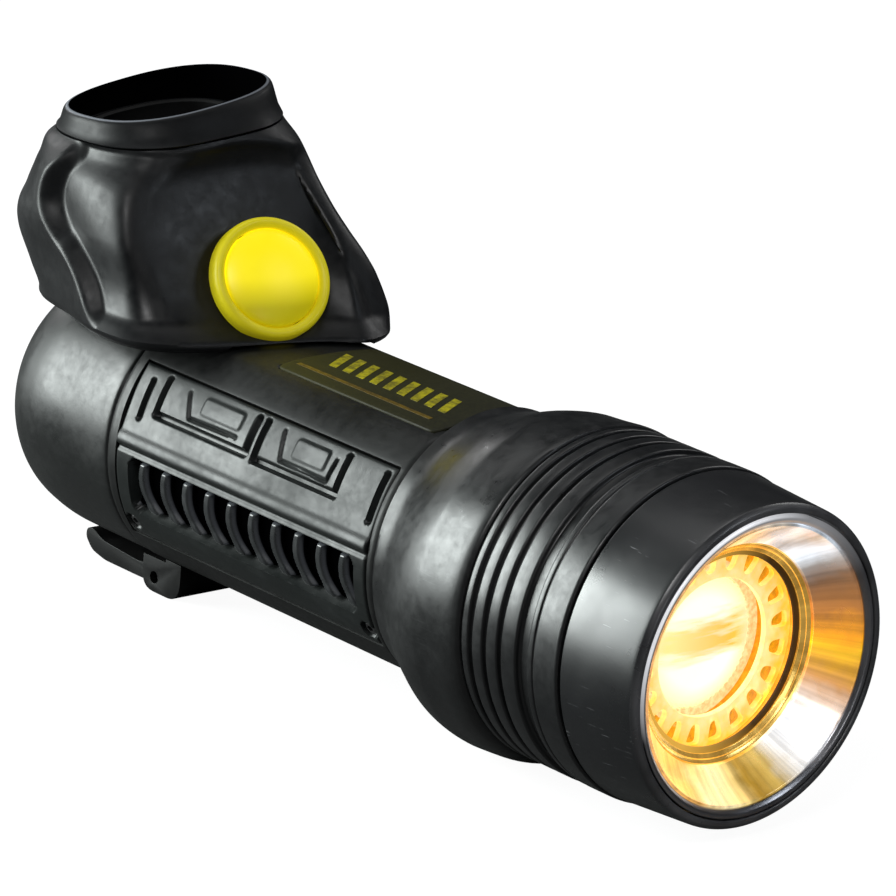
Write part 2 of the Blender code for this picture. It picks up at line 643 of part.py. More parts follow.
def build_tower():
    levels = (25.0, 26.6, 27.4, 28.6, 30.5, 33.0, 36.0, 40.5, 45.0, 49.5, 54.0, 57.0, 60.0, 62.0, COLLAR_Z)
    body = skin(bmesh.new(), [oval(z, 0.0, dished=True) for z in levels], False)
    well = skin(bmesh.new(), face_round(((-12.3, 0.0), (-12.3, 7.6), (-6.0, 7.6), (-6.0, 11.0),
                                         (-2.8, 11.0), (-2.8, 13.6), (4.0, 13.6), (4.0, 0.0)), 24), False)
    body = cut(body, well)
    shaft = along(lathe([(0.0, 0.0), (0.0, 3.5), (22.0, 3.5), (22.0, 0.0)], 12, True),
                  (-158.0, -3.0, 16.0), (0.0, 0.0, 1.0))
    body = cut(body, shaft)
    socket = skin(bmesh.new(), [oval(47.5, 9.0, 11.0), oval(56.0, 6.5, 12.5), oval(COLLAR_Z, 5.4, 14.0),
                                oval(COLLAR_Z, 5.4, 14.0, lift=8.0)], False)
    body = cut(body, socket)
    loops = [housing_section(-166.4, -0.9), housing_section(-120.0, -0.9)]
    body = cut(body, skin(bmesh.new(), loops, False))
    relief = lathe([(-166.0, 0.0), (-166.0, TAIL_R + 0.9), (-225.0, TAIL_R + 0.9), (-225.0, 0.0)], SEGS, True)
    body = cut(body, relief)
    for y in (-12.0, 12.0):
        hole = along(lathe([(0.0, 0.0), (0.0, 1.3), (12.0, 1.3), (12.0, 0.0)], 8, True),
                     (-163.0, y, 24.0), (0.0, 0.0, 1.0))
        body = cut(body, hole)
    finish("switch_tower", body, (0.02, 0.021, 0.023), 0.0, 0.35)


def build_collar():
    loops = [oval(COLLAR_Z, 0.0, lift=0.3), oval(66.5, -0.3), oval(TOP_Z - 0.6, -0.8), oval(TOP_Z, -0.1),
             oval(TOP_Z, 2.6), oval(TOP_Z - 1.0, 3.4), oval(COLLAR_Z, 5.0, 14.4, lift=0.3)]
    finish("tower_collar", skin(bmesh.new(), loops, True), (0.02, 0.021, 0.023), 0.0, 0.3)


def build_liner():
    """Soft cup lining the socket in the top of the hood."""
    loops = [oval(47.5, 9.5, 10.5, lift=0.4), oval(56.0, 7.0, 12.0), oval(COLLAR_Z, 5.9, 13.5),
             oval(COLLAR_Z, 7.6, 11.8), oval(56.0, 8.7, 10.3), oval(49.2, 11.2, 8.8)]
    finish("socket_liner", skin(bmesh.new(), loops, False), (0.012, 0.012, 0.013), 0.0, 0.85)


def build_button():
    centre, normal, upward, side = face_axes()
    bezel = face_round(((-2.4, 11.1), (-2.4, BUTTON_RING_R), (0.9, BUTTON_RING_R), (1.9, 12.5),
                        (1.9, 11.8), (1.2, 11.1)), 24)
    finish("button_bezel", skin(bmesh.new(), bezel, True), (0.72, 0.66, 0.06), 0.0, 0.4,
           origin=centre)
    cap = face_round(((-2.4, 0.0), (-2.4, 10.0), (-3.6, 10.0), (-3.6, BUTTON_R), (0.8, BUTTON_R),
                      (1.6, 9.8), (2.3, 5.0), (2.6, 0.0)), 24)
    stem = face_round(((-7.6, 0.0), (-7.6, 2.0), (-2.0, 2.0), (-2.0, 0.0)), 8)
    button = add(skin(bmesh.new(), cap, False), skin(bmesh.new(), stem, False))
    finish("switch_button", button, (0.92, 0.85, 0.06), 0.0, 0.35, origin=centre)
    seal = face_round(((-8.8, 3.0), (-8.8, 7.2), (-8.1, 7.2), (-8.1, 3.0)), 20)
    finish("button_seal", skin(bmesh.new(), seal, True), (0.02, 0.02, 0.02), 0.0, 0.8)
    start = centre - normal * 7.4
    points = [start + normal * p.x + side * p.y + upward * p.z for p in helix(4.3, 2.9, 2.75, 8)]
    finish("button_spring", tube(points, 0.3, 4), (0.7, 0.7, 0.72), 1.0, 0.3)
    outline = ((-3.0, -3.0), (3.0, -3.0), (3.0, 3.0), (-3.0, 3.0))
    loops = []
    for level in (-10.7, -9.4):
        loops.append([centre + normal * level + side * a + upward * b for a, b in outline])
    finish("micro_switch", skin(bmesh.new(), loops, False), (0.05, 0.05, 0.055), 0.0, 0.5)
    board = face_round(((-11.9, 0.0), (-11.9, 7.0), (-10.9, 7.0), (-10.9, 0.0)), 20)
    finish("switch_board", skin(bmesh.new(), board, False), (0.05, 0.25, 0.1), 0.0, 0.5)


def build_tower_screw(name, y):
    profile = [(0.0, 0.0), (0.0, 0.9), (11.0, 0.9), (11.0, 0.0)]
    bm = along(lathe(profile, 10, True), (-163.0, y, 24.2), (0.0, 0.0, 1.0))
    finish(name, bm, (0.5, 0.5, 0.52), 1.0, 0.35)


# ------------------------------------------------------------------ tail and battery

def build_tail():
    profile = [(-206.6, 0.0), (-206.6, 19.0), (-203.0, 21.6), (-177.0, 21.6), (-177.0, 25.1),
               (TAIL_FRONT, 25.1), (TAIL_FRONT, 28.4), (TAIL_FRONT - 0.6, TAIL_R), (-194.0, 28.9),
               (-202.0, 27.4), (-207.4, 24.0), (-210.6, 19.0), (-212.0, TAIL_FLAT_R), (-212.0, 0.0)]
    finish("tail_cap", lathe(profile, SEGS, True), (0.022, 0.023, 0.025), 0.1, 0.42)
    seal = [(-172.2, 24.2), (-173.6, 24.2), (-173.6, 24.85), (-172.2, 24.85)]
    finish("tail_oring", lathe(seal, SEGS), (0.35, 0.05, 0.03), 0.0, 0.6)
    plate = [(-206.2, 0.0), (-206.2, 17.0), (-205.0, 17.0), (-205.0, 0.0)]
    finish("tail_contact", lathe(plate, 20, True), (0.8, 0.6, 0.25), 1.0, 0.3)
    coil = tube([Vector((-204.2, 0.0, 0.0)) + p for p in helix(9.0, 35.0, 4.0, 9)], 0.7, 4)
    finish("tail_spring", coil, (0.7, 0.7, 0.72), 1.0, 0.3)


def build_battery():
    for index in range(3):
        turn = math.tau * index / 3.0 + math.pi / 2.0
        shift = Matrix.Translation((CELL_FRONT, CELL_CIRCLE * math.cos(turn), CELL_CIRCLE * math.sin(turn)))
        profile = [(-CELL_LENGTH, 0.0), (-CELL_LENGTH, 8.4), (-CELL_LENGTH + 0.7, CELL_R),
                   (-2.0, CELL_R), (-1.4, 8.4), (-1.4, 3.0), (0.0, 3.0), (0.0, 0.0)]
        cell = moved(lathe(profile, 16, True), shift)
        finish("battery_cell_" + str(index + 1), cell, (0.1, 0.22, 0.45), 0.0, 0.4)
    for name, back, front in (("carrier_front", -99.6, -97.2), ("carrier_rear", -168.0, -165.4)):
        disc = lathe([(back, 0.0), (back, 21.9), (front, 21.9), (front, 0.0)], 24, True)
        finish(name, disc, (0.04, 0.04, 0.045), 0.0, 0.5)
    for index in range(3):
        turn = math.tau * index / 3.0 - math.pi / 2.0
        shift = Matrix.Translation((0.0, 16.0 * math.cos(turn), 16.0 * math.sin(turn)))
        rod = moved(lathe([(-165.1, 0.0), (-165.1, 1.5), (-99.9, 1.5), (-99.9, 0.0)], 8, True), shift)
        finish("carrier_rod_" + str(index + 1), rod, (0.6, 0.6, 0.62), 1.0, 0.3)
    post = lathe([(-96.9, 0.0), (-96.9, 5.0), (-73.3, 5.0), (-73.3, 0.0)], 16, True)
    finish("carrier_post", post, (0.75, 0.58, 0.3), 1.0, 0.35)


# ------------------------------------------------------------------ latch

def build_latch():
    pivot_x, pivot_z = LATCH_PIVOT
    outline = ((-162.6, -25.0), (-162.6, -33.2), (-164.6, FOOT_Z), (-173.4, FOOT_Z), (-175.4, -33.6),
               (-175.4, -25.0))
    wide = LATCH_HALF + 2.4
    bracket = extrude_outline(outline, -wide, wide, lambda u, v, w: (u, w, v))
    bracket = cut(bracket, lathe([(-145.0, 0.0), (-145.0, BARREL_R + 0.3), (-167.9, BARREL_R + 0.3),
                                  (-167.9, TAIL_R + 1.2), (-185.0, TAIL_R + 1.2), (-185.0, 0.0)], SEGS, True))
    bracket = cut(bracket, block((-185.0, -LATCH_HALF, -40.0), (-167.2, LATCH_HALF, -20.0)))
    pin_hole = along(lathe([(0.0, 0.0), (0.0, 1.35), (40.0, 1.35), (40.0, 0.0)], 16, True),
                     (pivot_x, -20.0, pivot_z), (0.0, 1.0, 0.0))
    bracket = cut(bracket, pin_hole)
    screw_hole = along(lathe([(0.0, 0.0), (0.0, 1.3), (12.0, 1.3), (12.0, 0.0)], 8, True),
                       (-165.2, 0.0, -37.0), (0.0, 0.0, 1.0))
    bracket = cut(bracket, screw_hole)
    finish("latch_bracket", bracket, (0.022, 0.023, 0.025), 0.0, 0.45)
    side = ((-168.6, -31.4), (-168.6, -33.4), (-171.0, -35.0), (-180.0, -35.2), (-192.0, -35.2),
            (-196.6, -34.2), (-199.0, -31.8), (-198.8, -29.8), (-197.0, -29.2), (-193.0, -31.0),
            (-181.0, -31.8), (-175.0, -31.2), (-172.6, -30.4), (-170.0, -30.4))
    half = LATCH_HALF - 0.4
    lever = extrude_outline(side, -half, half, lambda u, v, w: (u, w, v))
    bore = along(lathe([(0.0, 0.0), (0.0, 1.35), (40.0, 1.35), (40.0, 0.0)], 16, True),
                 (pivot_x, -20.0, pivot_z), (0.0, 1.0, 0.0))
    lever = cut(lever, bore)
    finish("latch_lever", lever, (0.03, 0.031, 0.033), 0.1, 0.4, origin=(pivot_x, 0.0, pivot_z))
    pin = along(lathe([(0.0, 0.0), (0.0, 1.05), (20.0, 1.05), (20.0, 0.0)], 12, True),
                (pivot_x, -10.0, pivot_z), (0.0, 1.0, 0.0))
    finish("latch_pin", pin, (0.6, 0.6, 0.62), 1.0, 0.3)
    screw = along(lathe([(0.0, 0.0), (0.0, 0.9), (9.0, 0.9), (9.0, 0.0)], 10, True),
                  (-165.2, 0.0, -34.6), (0.0, 0.0, 1.0))
    finish("latch_screw", screw, (0.5, 0.5, 0.52), 1.0, 0.35)


def build_wires():
    red = [Vector((-48.4, 12.0, 4.0)), Vector((-49.2, 12.0, 4.0)), Vector((-50.1, 12.0, 4.0))]
    finish("led_lead_positive", tube(red, 0.7, 8), (0.6, 0.03, 0.02), 0.0, 0.5)
    black = [Vector((-48.4, -12.0, 4.0)), Vector((-49.2, -12.0, 4.0)), Vector((-50.1, -12.0, 4.0))]
    finish("led_lead_negative", tube(black, 0.7, 8), (0.02, 0.02, 0.02), 0.0, 0.5)


clear_scene()
build_bezel()
build_lip_ring()
build_cone()
build_seat_ring()
build_gasket()
build_front_lens()
build_ring_plate()
build_light_engine()
build_head_oring()
build_focus_ring()
build_head_shell()
build_housing()
for lamp_side, word in ((-1.0, "right"), (1.0, "left")):
    build_side_panel(lamp_side, "side_panel_" + word)
    build_louvre(lamp_side, "louvre_insert_" + word)
    build_panel_screw("panel_screw_rear_" + word, lamp_side, PANEL_BACK + 2.4)
    build_panel_screw("panel_screw_front_" + word, lamp_side, PANEL_FRONT - 1.9)
build_label()
build_tower()
build_collar()
build_liner()
build_button()
build_tower_screw("tower_screw_right", -12.0)
build_tower_screw("tower_screw_left", 12.0)
build_tail()
build_battery()
build_latch()
build_wires()
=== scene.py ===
"""Looks for the firefighter flashlight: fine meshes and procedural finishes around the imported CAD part.

Lamp millimetres are used throughout: x is measured back from the front rim, y to the lamp's left and
z up from the beam axis. at() turns them into the frame's metres.
"""

import math

import bmesh
import bpy
import numpy as np
from mathutils import Matrix, Vector

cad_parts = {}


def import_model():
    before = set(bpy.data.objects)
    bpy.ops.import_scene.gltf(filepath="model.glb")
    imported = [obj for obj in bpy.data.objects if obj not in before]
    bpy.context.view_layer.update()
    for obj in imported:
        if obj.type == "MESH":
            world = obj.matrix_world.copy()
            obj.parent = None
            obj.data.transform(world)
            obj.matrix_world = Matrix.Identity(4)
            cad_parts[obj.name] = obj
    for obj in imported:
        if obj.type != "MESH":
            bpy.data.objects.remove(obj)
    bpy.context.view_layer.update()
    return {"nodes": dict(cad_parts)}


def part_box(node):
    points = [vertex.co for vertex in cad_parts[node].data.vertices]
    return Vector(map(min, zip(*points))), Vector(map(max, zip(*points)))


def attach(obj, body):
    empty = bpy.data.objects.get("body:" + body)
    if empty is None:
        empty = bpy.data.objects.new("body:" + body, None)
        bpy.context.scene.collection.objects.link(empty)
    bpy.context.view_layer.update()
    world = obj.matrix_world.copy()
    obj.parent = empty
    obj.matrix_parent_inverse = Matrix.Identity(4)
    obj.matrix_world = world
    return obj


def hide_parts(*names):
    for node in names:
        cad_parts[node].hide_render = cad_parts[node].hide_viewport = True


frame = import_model()

MM = 0.001


def span(node):
    """Back and front of a node along the lamp, in lamp millimetres."""
    low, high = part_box(node)
    return low.x / MM - FRONT_X, high.x / MM - FRONT_X


def half_width(node):
    low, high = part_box(node)
    return (high.y - low.y) / MM / 2.0


# ---- places and sizes read from the frame ----
FRONT_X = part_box("bezel_shell")[1].x / MM
AXIS_Z = (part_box("bezel_shell")[0].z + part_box("bezel_shell")[1].z) / MM / 2.0
FOOT_Z = -AXIS_Z
BEZEL_R = half_width("bezel_shell")
RING_BACK, RING_FRONT = span("focus_ring")
RING_R = half_width("focus_ring")
SHELL_BACK, SHELL_FRONT = span("head_shell")
SHELL_R = half_width("head_shell")
PANEL_BACK, PANEL_FRONT = span("side_panel_right")
LOUVRE_BACK, LOUVRE_FRONT = span("louvre_insert_right")
LABEL_BACK, LABEL_FRONT = span("label_plate")
LABEL_HALF = half_width("label_plate")
TAIL_BACK, TAIL_FRONT = span("tail_cap")
TAIL_R = half_width("tail_cap")
LEVER_BACK = span("latch_lever")[0]
LEVER_HALF = half_width("latch_lever")
BRACKET_HALF = half_width("latch_bracket")

# ---- lamp optics ----
SLOT_COUNT = 20
SLOT_CENTRE_R = 17.7
LENS_R = 12.0
LENS_CROWN = 1.2
FLANGE_POINTS = 240
TOOTH = 0.28

# ---- barrel ----
BARREL_R = 29.2
HOUSING_BACK = -168.2
HOUSING_FRONT = -81.4
END_ROUND = 0.4
DECK_Z = 25.4
DECK_HALF = 14.0
LABEL_SINK = 0.85
LABEL_CORNER = 2.2
POCKET_R = 25.8
PANEL_IN_R = 26.2
PANEL_TOP_DEG = 41.0
PANEL_LOW_DEG = -38.0
POCKET_GAP_DEG = 0.7
SEAM = 0.3
ARC = math.radians(1.0) * 29.0
WINDOW_FLOOR_R = 26.36
WINDOW_TOP_DEG = 1.0
WINDOW_LOW_DEG = -24.0
WINDOW_GAP_DEG = 0.7
SCREW_DEG = -31.0
SCREW_XS = (("rear", PANEL_BACK + 2.4), ("front", PANEL_FRONT - 1.95))
SCREW_WELL_R = 2.05
SCREW_FLOOR_R = 26.9
SCREW_SEAT_R = 24.7
PANEL_ROUND = 0.55
PAD_RISE = 0.28
RIB_COUNT = 10
RIB_HALF = 1.35
RIB_FLARE = 0.35
RIB_SWEEP = 3.3
RIB_BOW = 0.9
RIB_CREST_R = 28.35
STRIP_R = 26.75
STRIP_FOOT_R = 26.45
BARS_BACK = -127.5
BAR_COUNT = 9
BAR_PITCH = 4.3
BAR_WIDTH = 2.3
BAR_SLANT = -4.4

# ---- switch hood: height, centre x, centre y, turn, half length, half width, flat front ----
TOWER_ROWS = ((25.0, -169.8, -0.4, -18.0, 31.4, 31.6, 26.0),
              (26.6, -170.2, -0.4, -18.0, 32.8, 32.8, 27.0),
              (36.0, -174.6, -1.6, -16.0, 34.0, 31.8, 25.2),
              (45.0, -177.8, -3.6, -12.0, 33.2, 31.2, 22.8),
              (54.0, -182.0, -4.4, -8.0, 29.4, 28.8, 21.4),
              (60.0, -185.0, -3.4, -4.0, 25.0, 25.8, 20.8),
              (63.5, -186.8, -3.0, -2.0, 20.8, 23.2, 20.2),
              (69.5, -188.3, -2.8, 0.0, 17.4, 22.0, 20.0))
# dish depth by height, and the angles of its near and far lips round the hood
DISH = ((27.0, 0.0), (28.4, 1.4), (30.5, 3.4), (38.0, 4.4), (46.0, 4.6), (54.0, 4.2), (58.5, 3.6),
        (61.0, 2.0), (62.6, 0.2), (63.5, 0.0))
LIPS = ((25.0, -75.0, 62.0), (35.0, -83.0, 62.0), (48.0, -100.0, 60.0), (60.0, -94.0, 57.0),
        (69.5, -90.0, 54.0))
NEAR_LIP_DEG = 6.5
FAR_LIP_DEG = 12.0
DISH_ARCH = 4.0
NEAR_ARCH = -1.2
# swelling of the rear right quarter and of the front left corner by height
SWELLS = ((25.0, 5.9, 2.4), (27.0, 4.2, 3.0), (31.5, 4.6, 4.2), (37.0, 5.1, 4.1), (41.0, 4.3, 2.8),
          (45.0, 2.6, 1.0), (49.0, 0.4, 0.0), (55.5, -1.5, 0.0), (60.0, -0.4, 0.0), (63.5, 0.0, 0.0))
REAR_SWELL_DEG = -130.0
REAR_SWELL_REACH = 40.0
FRONT_SWELL_DEG = 54.0
FRONT_SWELL_REACH = 36.0
EDGE_BLEND = 1.6
FRONT_BLEND = 7.0
HOOD_FOOT_Z = 25.0
COLLAR_Z = 63.5
MOUTH_Z = 69.5
MOUTH_RISE_FROM = 54.0
MOUTH_CENTRE = (-188.0, -3.0)
MOUTH_REACH = 24.0
MOUTH_SIDE_RISE = 3.4
MOUTH_FRONT_RISE = 1.8
SQUARE = 2.5
OVAL_POINTS = 320
FACE_LEAN_DEG = 31.0
FACE_TURN_DEG = -14.0
HOOD_GAP = 0.9
BUTTON_CENTRE = Vector((-150.2, -2.8, 38.6))
BUTTON_R = 10.6
CROWN_R = 10.2
BUTTON_RING_R = 13.2
BUTTON_RING_BORE = 10.75

# ---- latch ----
PIN_X = -171.4
PIN_Z = -32.4
PIN_HALF = 10.0
PIN_R = 1.05
LEVER_BORE_R = 1.3
BRACKET_BORE_R = 1.35

# ---- fineness of the round pieces ----
SEGS = 168


def at(point):
    return Vector((FRONT_X + point[0], point[1], AXIS_Z + point[2])) * MM


# ---------------- mesh helpers

def skin(rows, wrap=True, loop=False):
    """Points and faces over equal rows of points; wrap closes each row and loop joins last to first."""
    count = len(rows)
    width = len(rows[0])
    points = [point for row in rows for point in row]
    faces = []
    for index in range(count if loop else count - 1):
        here = index * width
        there = (index + 1) % count * width
        for step in range(width if wrap else width - 1):
            after = (step + 1) % width
            faces.append((here + step, here + after, there + after, there + step))
    if wrap and not loop:
        faces.append(tuple(reversed(range(width))))
        faces.append(tuple(range((count - 1) * width, count * width)))
    return points, faces


def join(skins):
    """Several skins as one list of points and one of faces."""
    points, faces = [], []
    for more, sides in skins:
        faces += [tuple(value + len(points) for value in side) for side in sides]
        points += more
    return points, faces


def solid(name, points, faces, sharp=40.0):
    """A shaded object from lamp points, with doubles merged and faces outward."""
    mesh = bpy.data.meshes.new(name)
    mesh.from_pydata([at(point) for point in points], [], faces)
    bm = bmesh.new()
    bm.from_mesh(mesh)
    bmesh.ops.remove_doubles(bm, verts=bm.verts[:], dist=0.002 * MM)
    bmesh.ops.recalc_face_normals(bm, faces=bm.faces[:])
    bm.to_mesh(mesh)
    bm.free()
    item = bpy.data.objects.new(name, mesh)
    bpy.context.scene.collection.objects.link(item)
    shade(item, sharp)
    return item


def shade(item, sharp):
    for face in item.data.polygons:
        face.use_smooth = True
    item.data.set_sharp_from_angle(angle=math.radians(sharp))


def settle(item, sharp):
    """Bake an object's modifiers into its mesh."""
    graph = bpy.context.evaluated_depsgraph_get()
    mesh = bpy.data.meshes.new_from_object(item.evaluated_get(graph))
    old = item.data
    item.modifiers.clear()
    item.data = mesh
    bpy.data.meshes.remove(old)
    shade(item, sharp)
    return item


def carve(item, tools, sharp=40.0):
    """Cut closed tool objects out of a closed object."""
    for tool in tools:
        step = item.modifiers.new("cut", "BOOLEAN")
        step.operation = "DIFFERENCE"
        step.solver = "EXACT"
        step.object = tool
        settle(item, sharp)
        bpy.data.objects.remove(tool, do_unlink=True)
    return item


def rounded(item, width, segments):
    """Bevel the sharp edges of an object."""
    step = item.modifiers.new("edge", "BEVEL")
    step.width = width * MM
    step.segments = segments
    step.limit_method = "ANGLE"
    step.angle_limit = math.radians(50.0)
    step.harden_normals = False
    return settle(item, 60.0)


def soften(outline, radius, steps=3, closed=True):
    """Round the corners of a flat outline with short curves."""
    found = []
    count = len(outline)
    for index, point in enumerate(outline):
        corner = Vector(point)
        if not closed and index in (0, count - 1):
            found.append(corner)
            continue
        back = Vector(outline[index - 1]) - corner
        ahead = Vector(outline[(index + 1) % count]) - corner
        start = corner + back.normalized() * min(radius, back.length * 0.46)
        end = corner + ahead.normalized() * min(radius, ahead.length * 0.46)
        for step in range(steps + 1):
            part = step / steps
            found.append(start.lerp(corner, part).lerp(corner.lerp(end, part), part))
    return found


def turns(count):
    return [math.tau * step / count for step in range(count)]


def circle(x, radius, segs=SEGS):
    return [(x, radius * math.cos(turn), radius * math.sin(turn)) for turn in turns(segs)]


def lathe(name, profile, edge, axis_ends=False, segs=SEGS):
    """Revolve an (x, radius) outline with softened corners about the beam axis."""
    outline = soften(profile, edge, closed=not axis_ends)
    points, faces = skin([circle(x, radius, segs) for x, radius in outline], loop=not axis_ends)
    return solid(name, points, faces[:-2] if axis_ends else faces, 50.0)


def fit(table, value):
    """Smooth curve through rows of (place, values...) at one place."""
    rows = [(row[0], np.array(row[1:], float)) for row in table]
    if value <= rows[0][0]:
        return rows[0][1]
    if value >= rows[-1][0]:
        return rows[-1][1]
    index = max(i for i, row in enumerate(rows) if row[0] <= value)

    def slope(i):
        before = rows[max(i - 1, 0)]
        after = rows[min(i + 1, len(rows) - 1)]
        return (after[1] - before[1]) / (after[0] - before[0])

    here, there = rows[index], rows[index + 1]
    gap = there[0] - here[0]
    t = (value - here[0]) / gap
    return ((2 * t ** 3 - 3 * t ** 2 + 1) * here[1] + (t ** 3 - 2 * t ** 2 + t) * gap * slope(index)
            + (3 * t ** 2 - 2 * t ** 3) * there[1] + (t ** 3 - t ** 2) * gap * slope(index + 1))


def soft_min(a, b, blend):
    """The smaller of two values, with the corner between them rounded."""
    near = max(blend - abs(a - b), 0.0) / blend
    return min(a, b) - near * near * blend / 4.0


def eased(part):
    return part * part * (3.0 - 2.0 * part)


def ramp(value, low, high):
    return eased(min(max((value - low) / (high - low), 0.0), 1.0))


def roll(inside, radius):
    """How far a rounded edge falls at a distance inside its border."""
    if inside >= radius:
        return 0.0
    return radius - math.sqrt(max(radius ** 2 - (radius - max(inside, 0.0)) ** 2, 0.0))


def box_gap(x, y, low, high, corner):
    """Signed distance to a flat rounded rectangle, negative inside."""
    ax = abs(x - (low[0] + high[0]) / 2.0) - (high[0] - low[0]) / 2.0 + corner
    ay = abs(y - (low[1] + high[1]) / 2.0) - (high[1] - low[1]) / 2.0 + corner
    return math.hypot(max(ax, 0.0), max(ay, 0.0)) + min(max(ax, ay), 0.0) - corner


def path_gap(x, y, path):
    """Distance to a broken line."""
    best = math.inf
    for (ax, ay), (bx, by) in zip(path, path[1:]):
        dx, dy = bx - ax, by - ay
        part = min(max(((x - ax) * dx + (y - ay) * dy) / (dx * dx + dy * dy), 0.0), 1.0)
        best = min(best, math.hypot(x - ax - dx * part, y - ay - dy * part))
    return best


def stops(low, high, step, edges=(), near=0.06):
    """Even places between two ends, with close pairs of lines at each edge."""
    count = max(int(round((high - low) / step)), 1)
    found = [low + (high - low) * index / count for index in range(count + 1)]
    for edge in edges:
        found = [value for value in found if abs(value - edge) > near * 1.5 or value in (low, high)]
        found += [value for value in (edge - near, edge + near) if low < value < high]
    return sorted(set(found))


def polar(x, degrees, radius, side=1.0):
    turn = math.radians(degrees)
    return (x, side * radius * math.cos(turn), radius * math.sin(turn))


# ---------------- material helpers

class Finish:
    """One procedural material: a Principled shader with nodes added by short calls."""

    def __init__(self, name, **values):
        self.made = bpy.data.materials.new(name)
        self.made.use_nodes = True
        self.tree = self.made.node_tree
        self.shader = self.tree.nodes["Principled BSDF"]
        self.place = self.node("ShaderNodeTexCoord").outputs["Object"]
        self.bumps = None
        self.fill(self.shader, **values)

    def node(self, kind, **settings):
        made = self.tree.nodes.new(kind)
        for label, value in settings.items():
            setattr(made, label, value)
        return made

    def put(self, socket, value):
        if isinstance(value, bpy.types.NodeSocket):
            self.tree.links.new(value, socket)
        elif isinstance(value, (tuple, list)) and socket.type == "RGBA" and len(value) == 3:
            socket.default_value = (value[0], value[1], value[2], 1.0)
        else:
            socket.default_value = value

    def fill(self, node, **values):
        """Set or link named inputs of a node."""
        for label, value in values.items():
            self.put(node.inputs[label.replace("_", " ")], value)

    def set(self, label, value):
        self.put(self.shader.inputs[label], value)

    def mapped(self, scale, turn=(0.0, 0.0, 0.0), shift=(0.0, 0.0, 0.0)):
        made = self.node("ShaderNodeMapping")
        self.fill(made, Vector=self.place, Scale=scale, Rotation=turn, Location=shift)
        return made.outputs["Vector"]

    def noise(self, scale, detail=3.0, rough=0.55, place=None):
        made = self.node("ShaderNodeTexNoise")
        self.fill(made, Vector=place or self.place, Scale=scale, Detail=detail, Roughness=rough)
        return made.outputs["Fac"]

    def spread(self, value, low, high, start=0.0, end=1.0):
        """Map a value from low..high to start..end."""
        made = self.node("ShaderNodeMapRange")
        self.fill(made, Value=value, From_Min=low, From_Max=high, To_Min=start, To_Max=end)
        return made.outputs["Result"]

    def math(self, kind, first, second=0.0):
        made = self.node("ShaderNodeMath", operation=kind)
        self.put(made.inputs[0], first)
        self.put(made.inputs[1], second)
        return made.outputs[0]

    def times(self, first, second):
        return self.math("MULTIPLY", first, second)

    def mix(self, factor, first, second):
        made = self.node("ShaderNodeMix", data_type="RGBA")
        self.put(made.inputs[0], factor)
        self.put(made.inputs[6], first)
        self.put(made.inputs[7], second)
        return made.outputs[2]

    def tones(self, factor, first, second):
        """Base colour between two tones."""
        self.set("Base Color", self.mix(factor, first, second))

    def gloss(self, value, low, high, start, end):
        """Roughness from start to end as a value goes from low to high."""
        self.set("Roughness", self.spread(value, low, high, start, end))

    def glow(self, color, strength):
        self.set("Emission Color", color)
        self.set("Emission Strength", strength)

    def bump(self, height, depth_mm, strength=1.0):
        made = self.node("ShaderNodeBump")
        self.fill(made, Height=height, Distance=depth_mm * MM, Strength=strength)
        if self.bumps is not None:
            self.fill(made, Normal=self.bumps)
        self.bumps = made.outputs["Normal"]
        self.set("Normal", self.bumps)

    def grain(self, scale, depth_mm):
        """Fine bumps all over."""
        self.bump(self.noise(scale, 2.0), depth_mm)

    def parts(self):
        """x, y and z of the place, in metres from the beam axis."""
        made = self.node("ShaderNodeSeparateXYZ")
        self.fill(made, Vector=self.mapped((1.0, 1.0, 1.0), shift=(0.0, 0.0, -AXIS_Z * MM)))
        return made.outputs["X"], made.outputs["Y"], made.outputs["Z"]

    def off_axis(self, y, z):
        """Distance from the beam axis."""
        return self.math("SQRT", self.math("ADD", self.times(y, y), self.times(z, z)))

    def rays(self, turn, x=None):
        """Texture place that changes round the beam axis, and along it where x is given."""
        made = self.node("ShaderNodeCombineXYZ")
        self.fill(made, X=self.math("SINE", turn), Y=self.math("COSINE", turn))
        if x is not None:
            self.fill(made, Z=self.times(x, 6.0))
        return made.outputs[0]

    def scratches(self, turn, amount=0.5):
        """Sparse fine lines along one direction, 1 on a line and 0 off it."""
        long_way = self.mapped((26.0, 900.0, 900.0), turn=turn)
        lines = self.noise(2.4, 2.0, 0.6, long_way)
        gate = self.spread(self.noise(70.0, 2.0), 0.5, 0.62)
        return self.times(self.spread(lines, 0.665, 0.69, 0.0, amount), gate)


def recess_shade_mask(made):
    """Painted shade: 0 deep in the barrel's side recesses, where they are painted into shade, and 1 on the
    outside, by distance from the beam axis.
    """
    _, y, z = made.parts()
    return made.spread(made.off_axis(y, z), 27.3 * MM, 28.4 * MM)


def mouth_shade_mask(made):
    """Painted shade: 0 on the walls inside the hood's mouth, where they are painted into shade, and 1 on its
    outside.
    """
    x, y, _ = made.parts()
    _, centre_x, centre_y, _, half_x, half_y, _ = TOWER_ROWS[-1]
    powers = []
    for value, centre, half in ((x, FRONT_X + centre_x, half_x), (y, centre_y, half_y)):
        part = made.math("DIVIDE", made.math("SUBTRACT", value, centre * MM), half * MM)
        powers.append(made.math("POWER", made.math("ABSOLUTE", part), SQUARE))
    return made.spread(made.math("POWER", made.math("ADD", *powers), 1.0 / SQUARE), 0.955, 0.99)


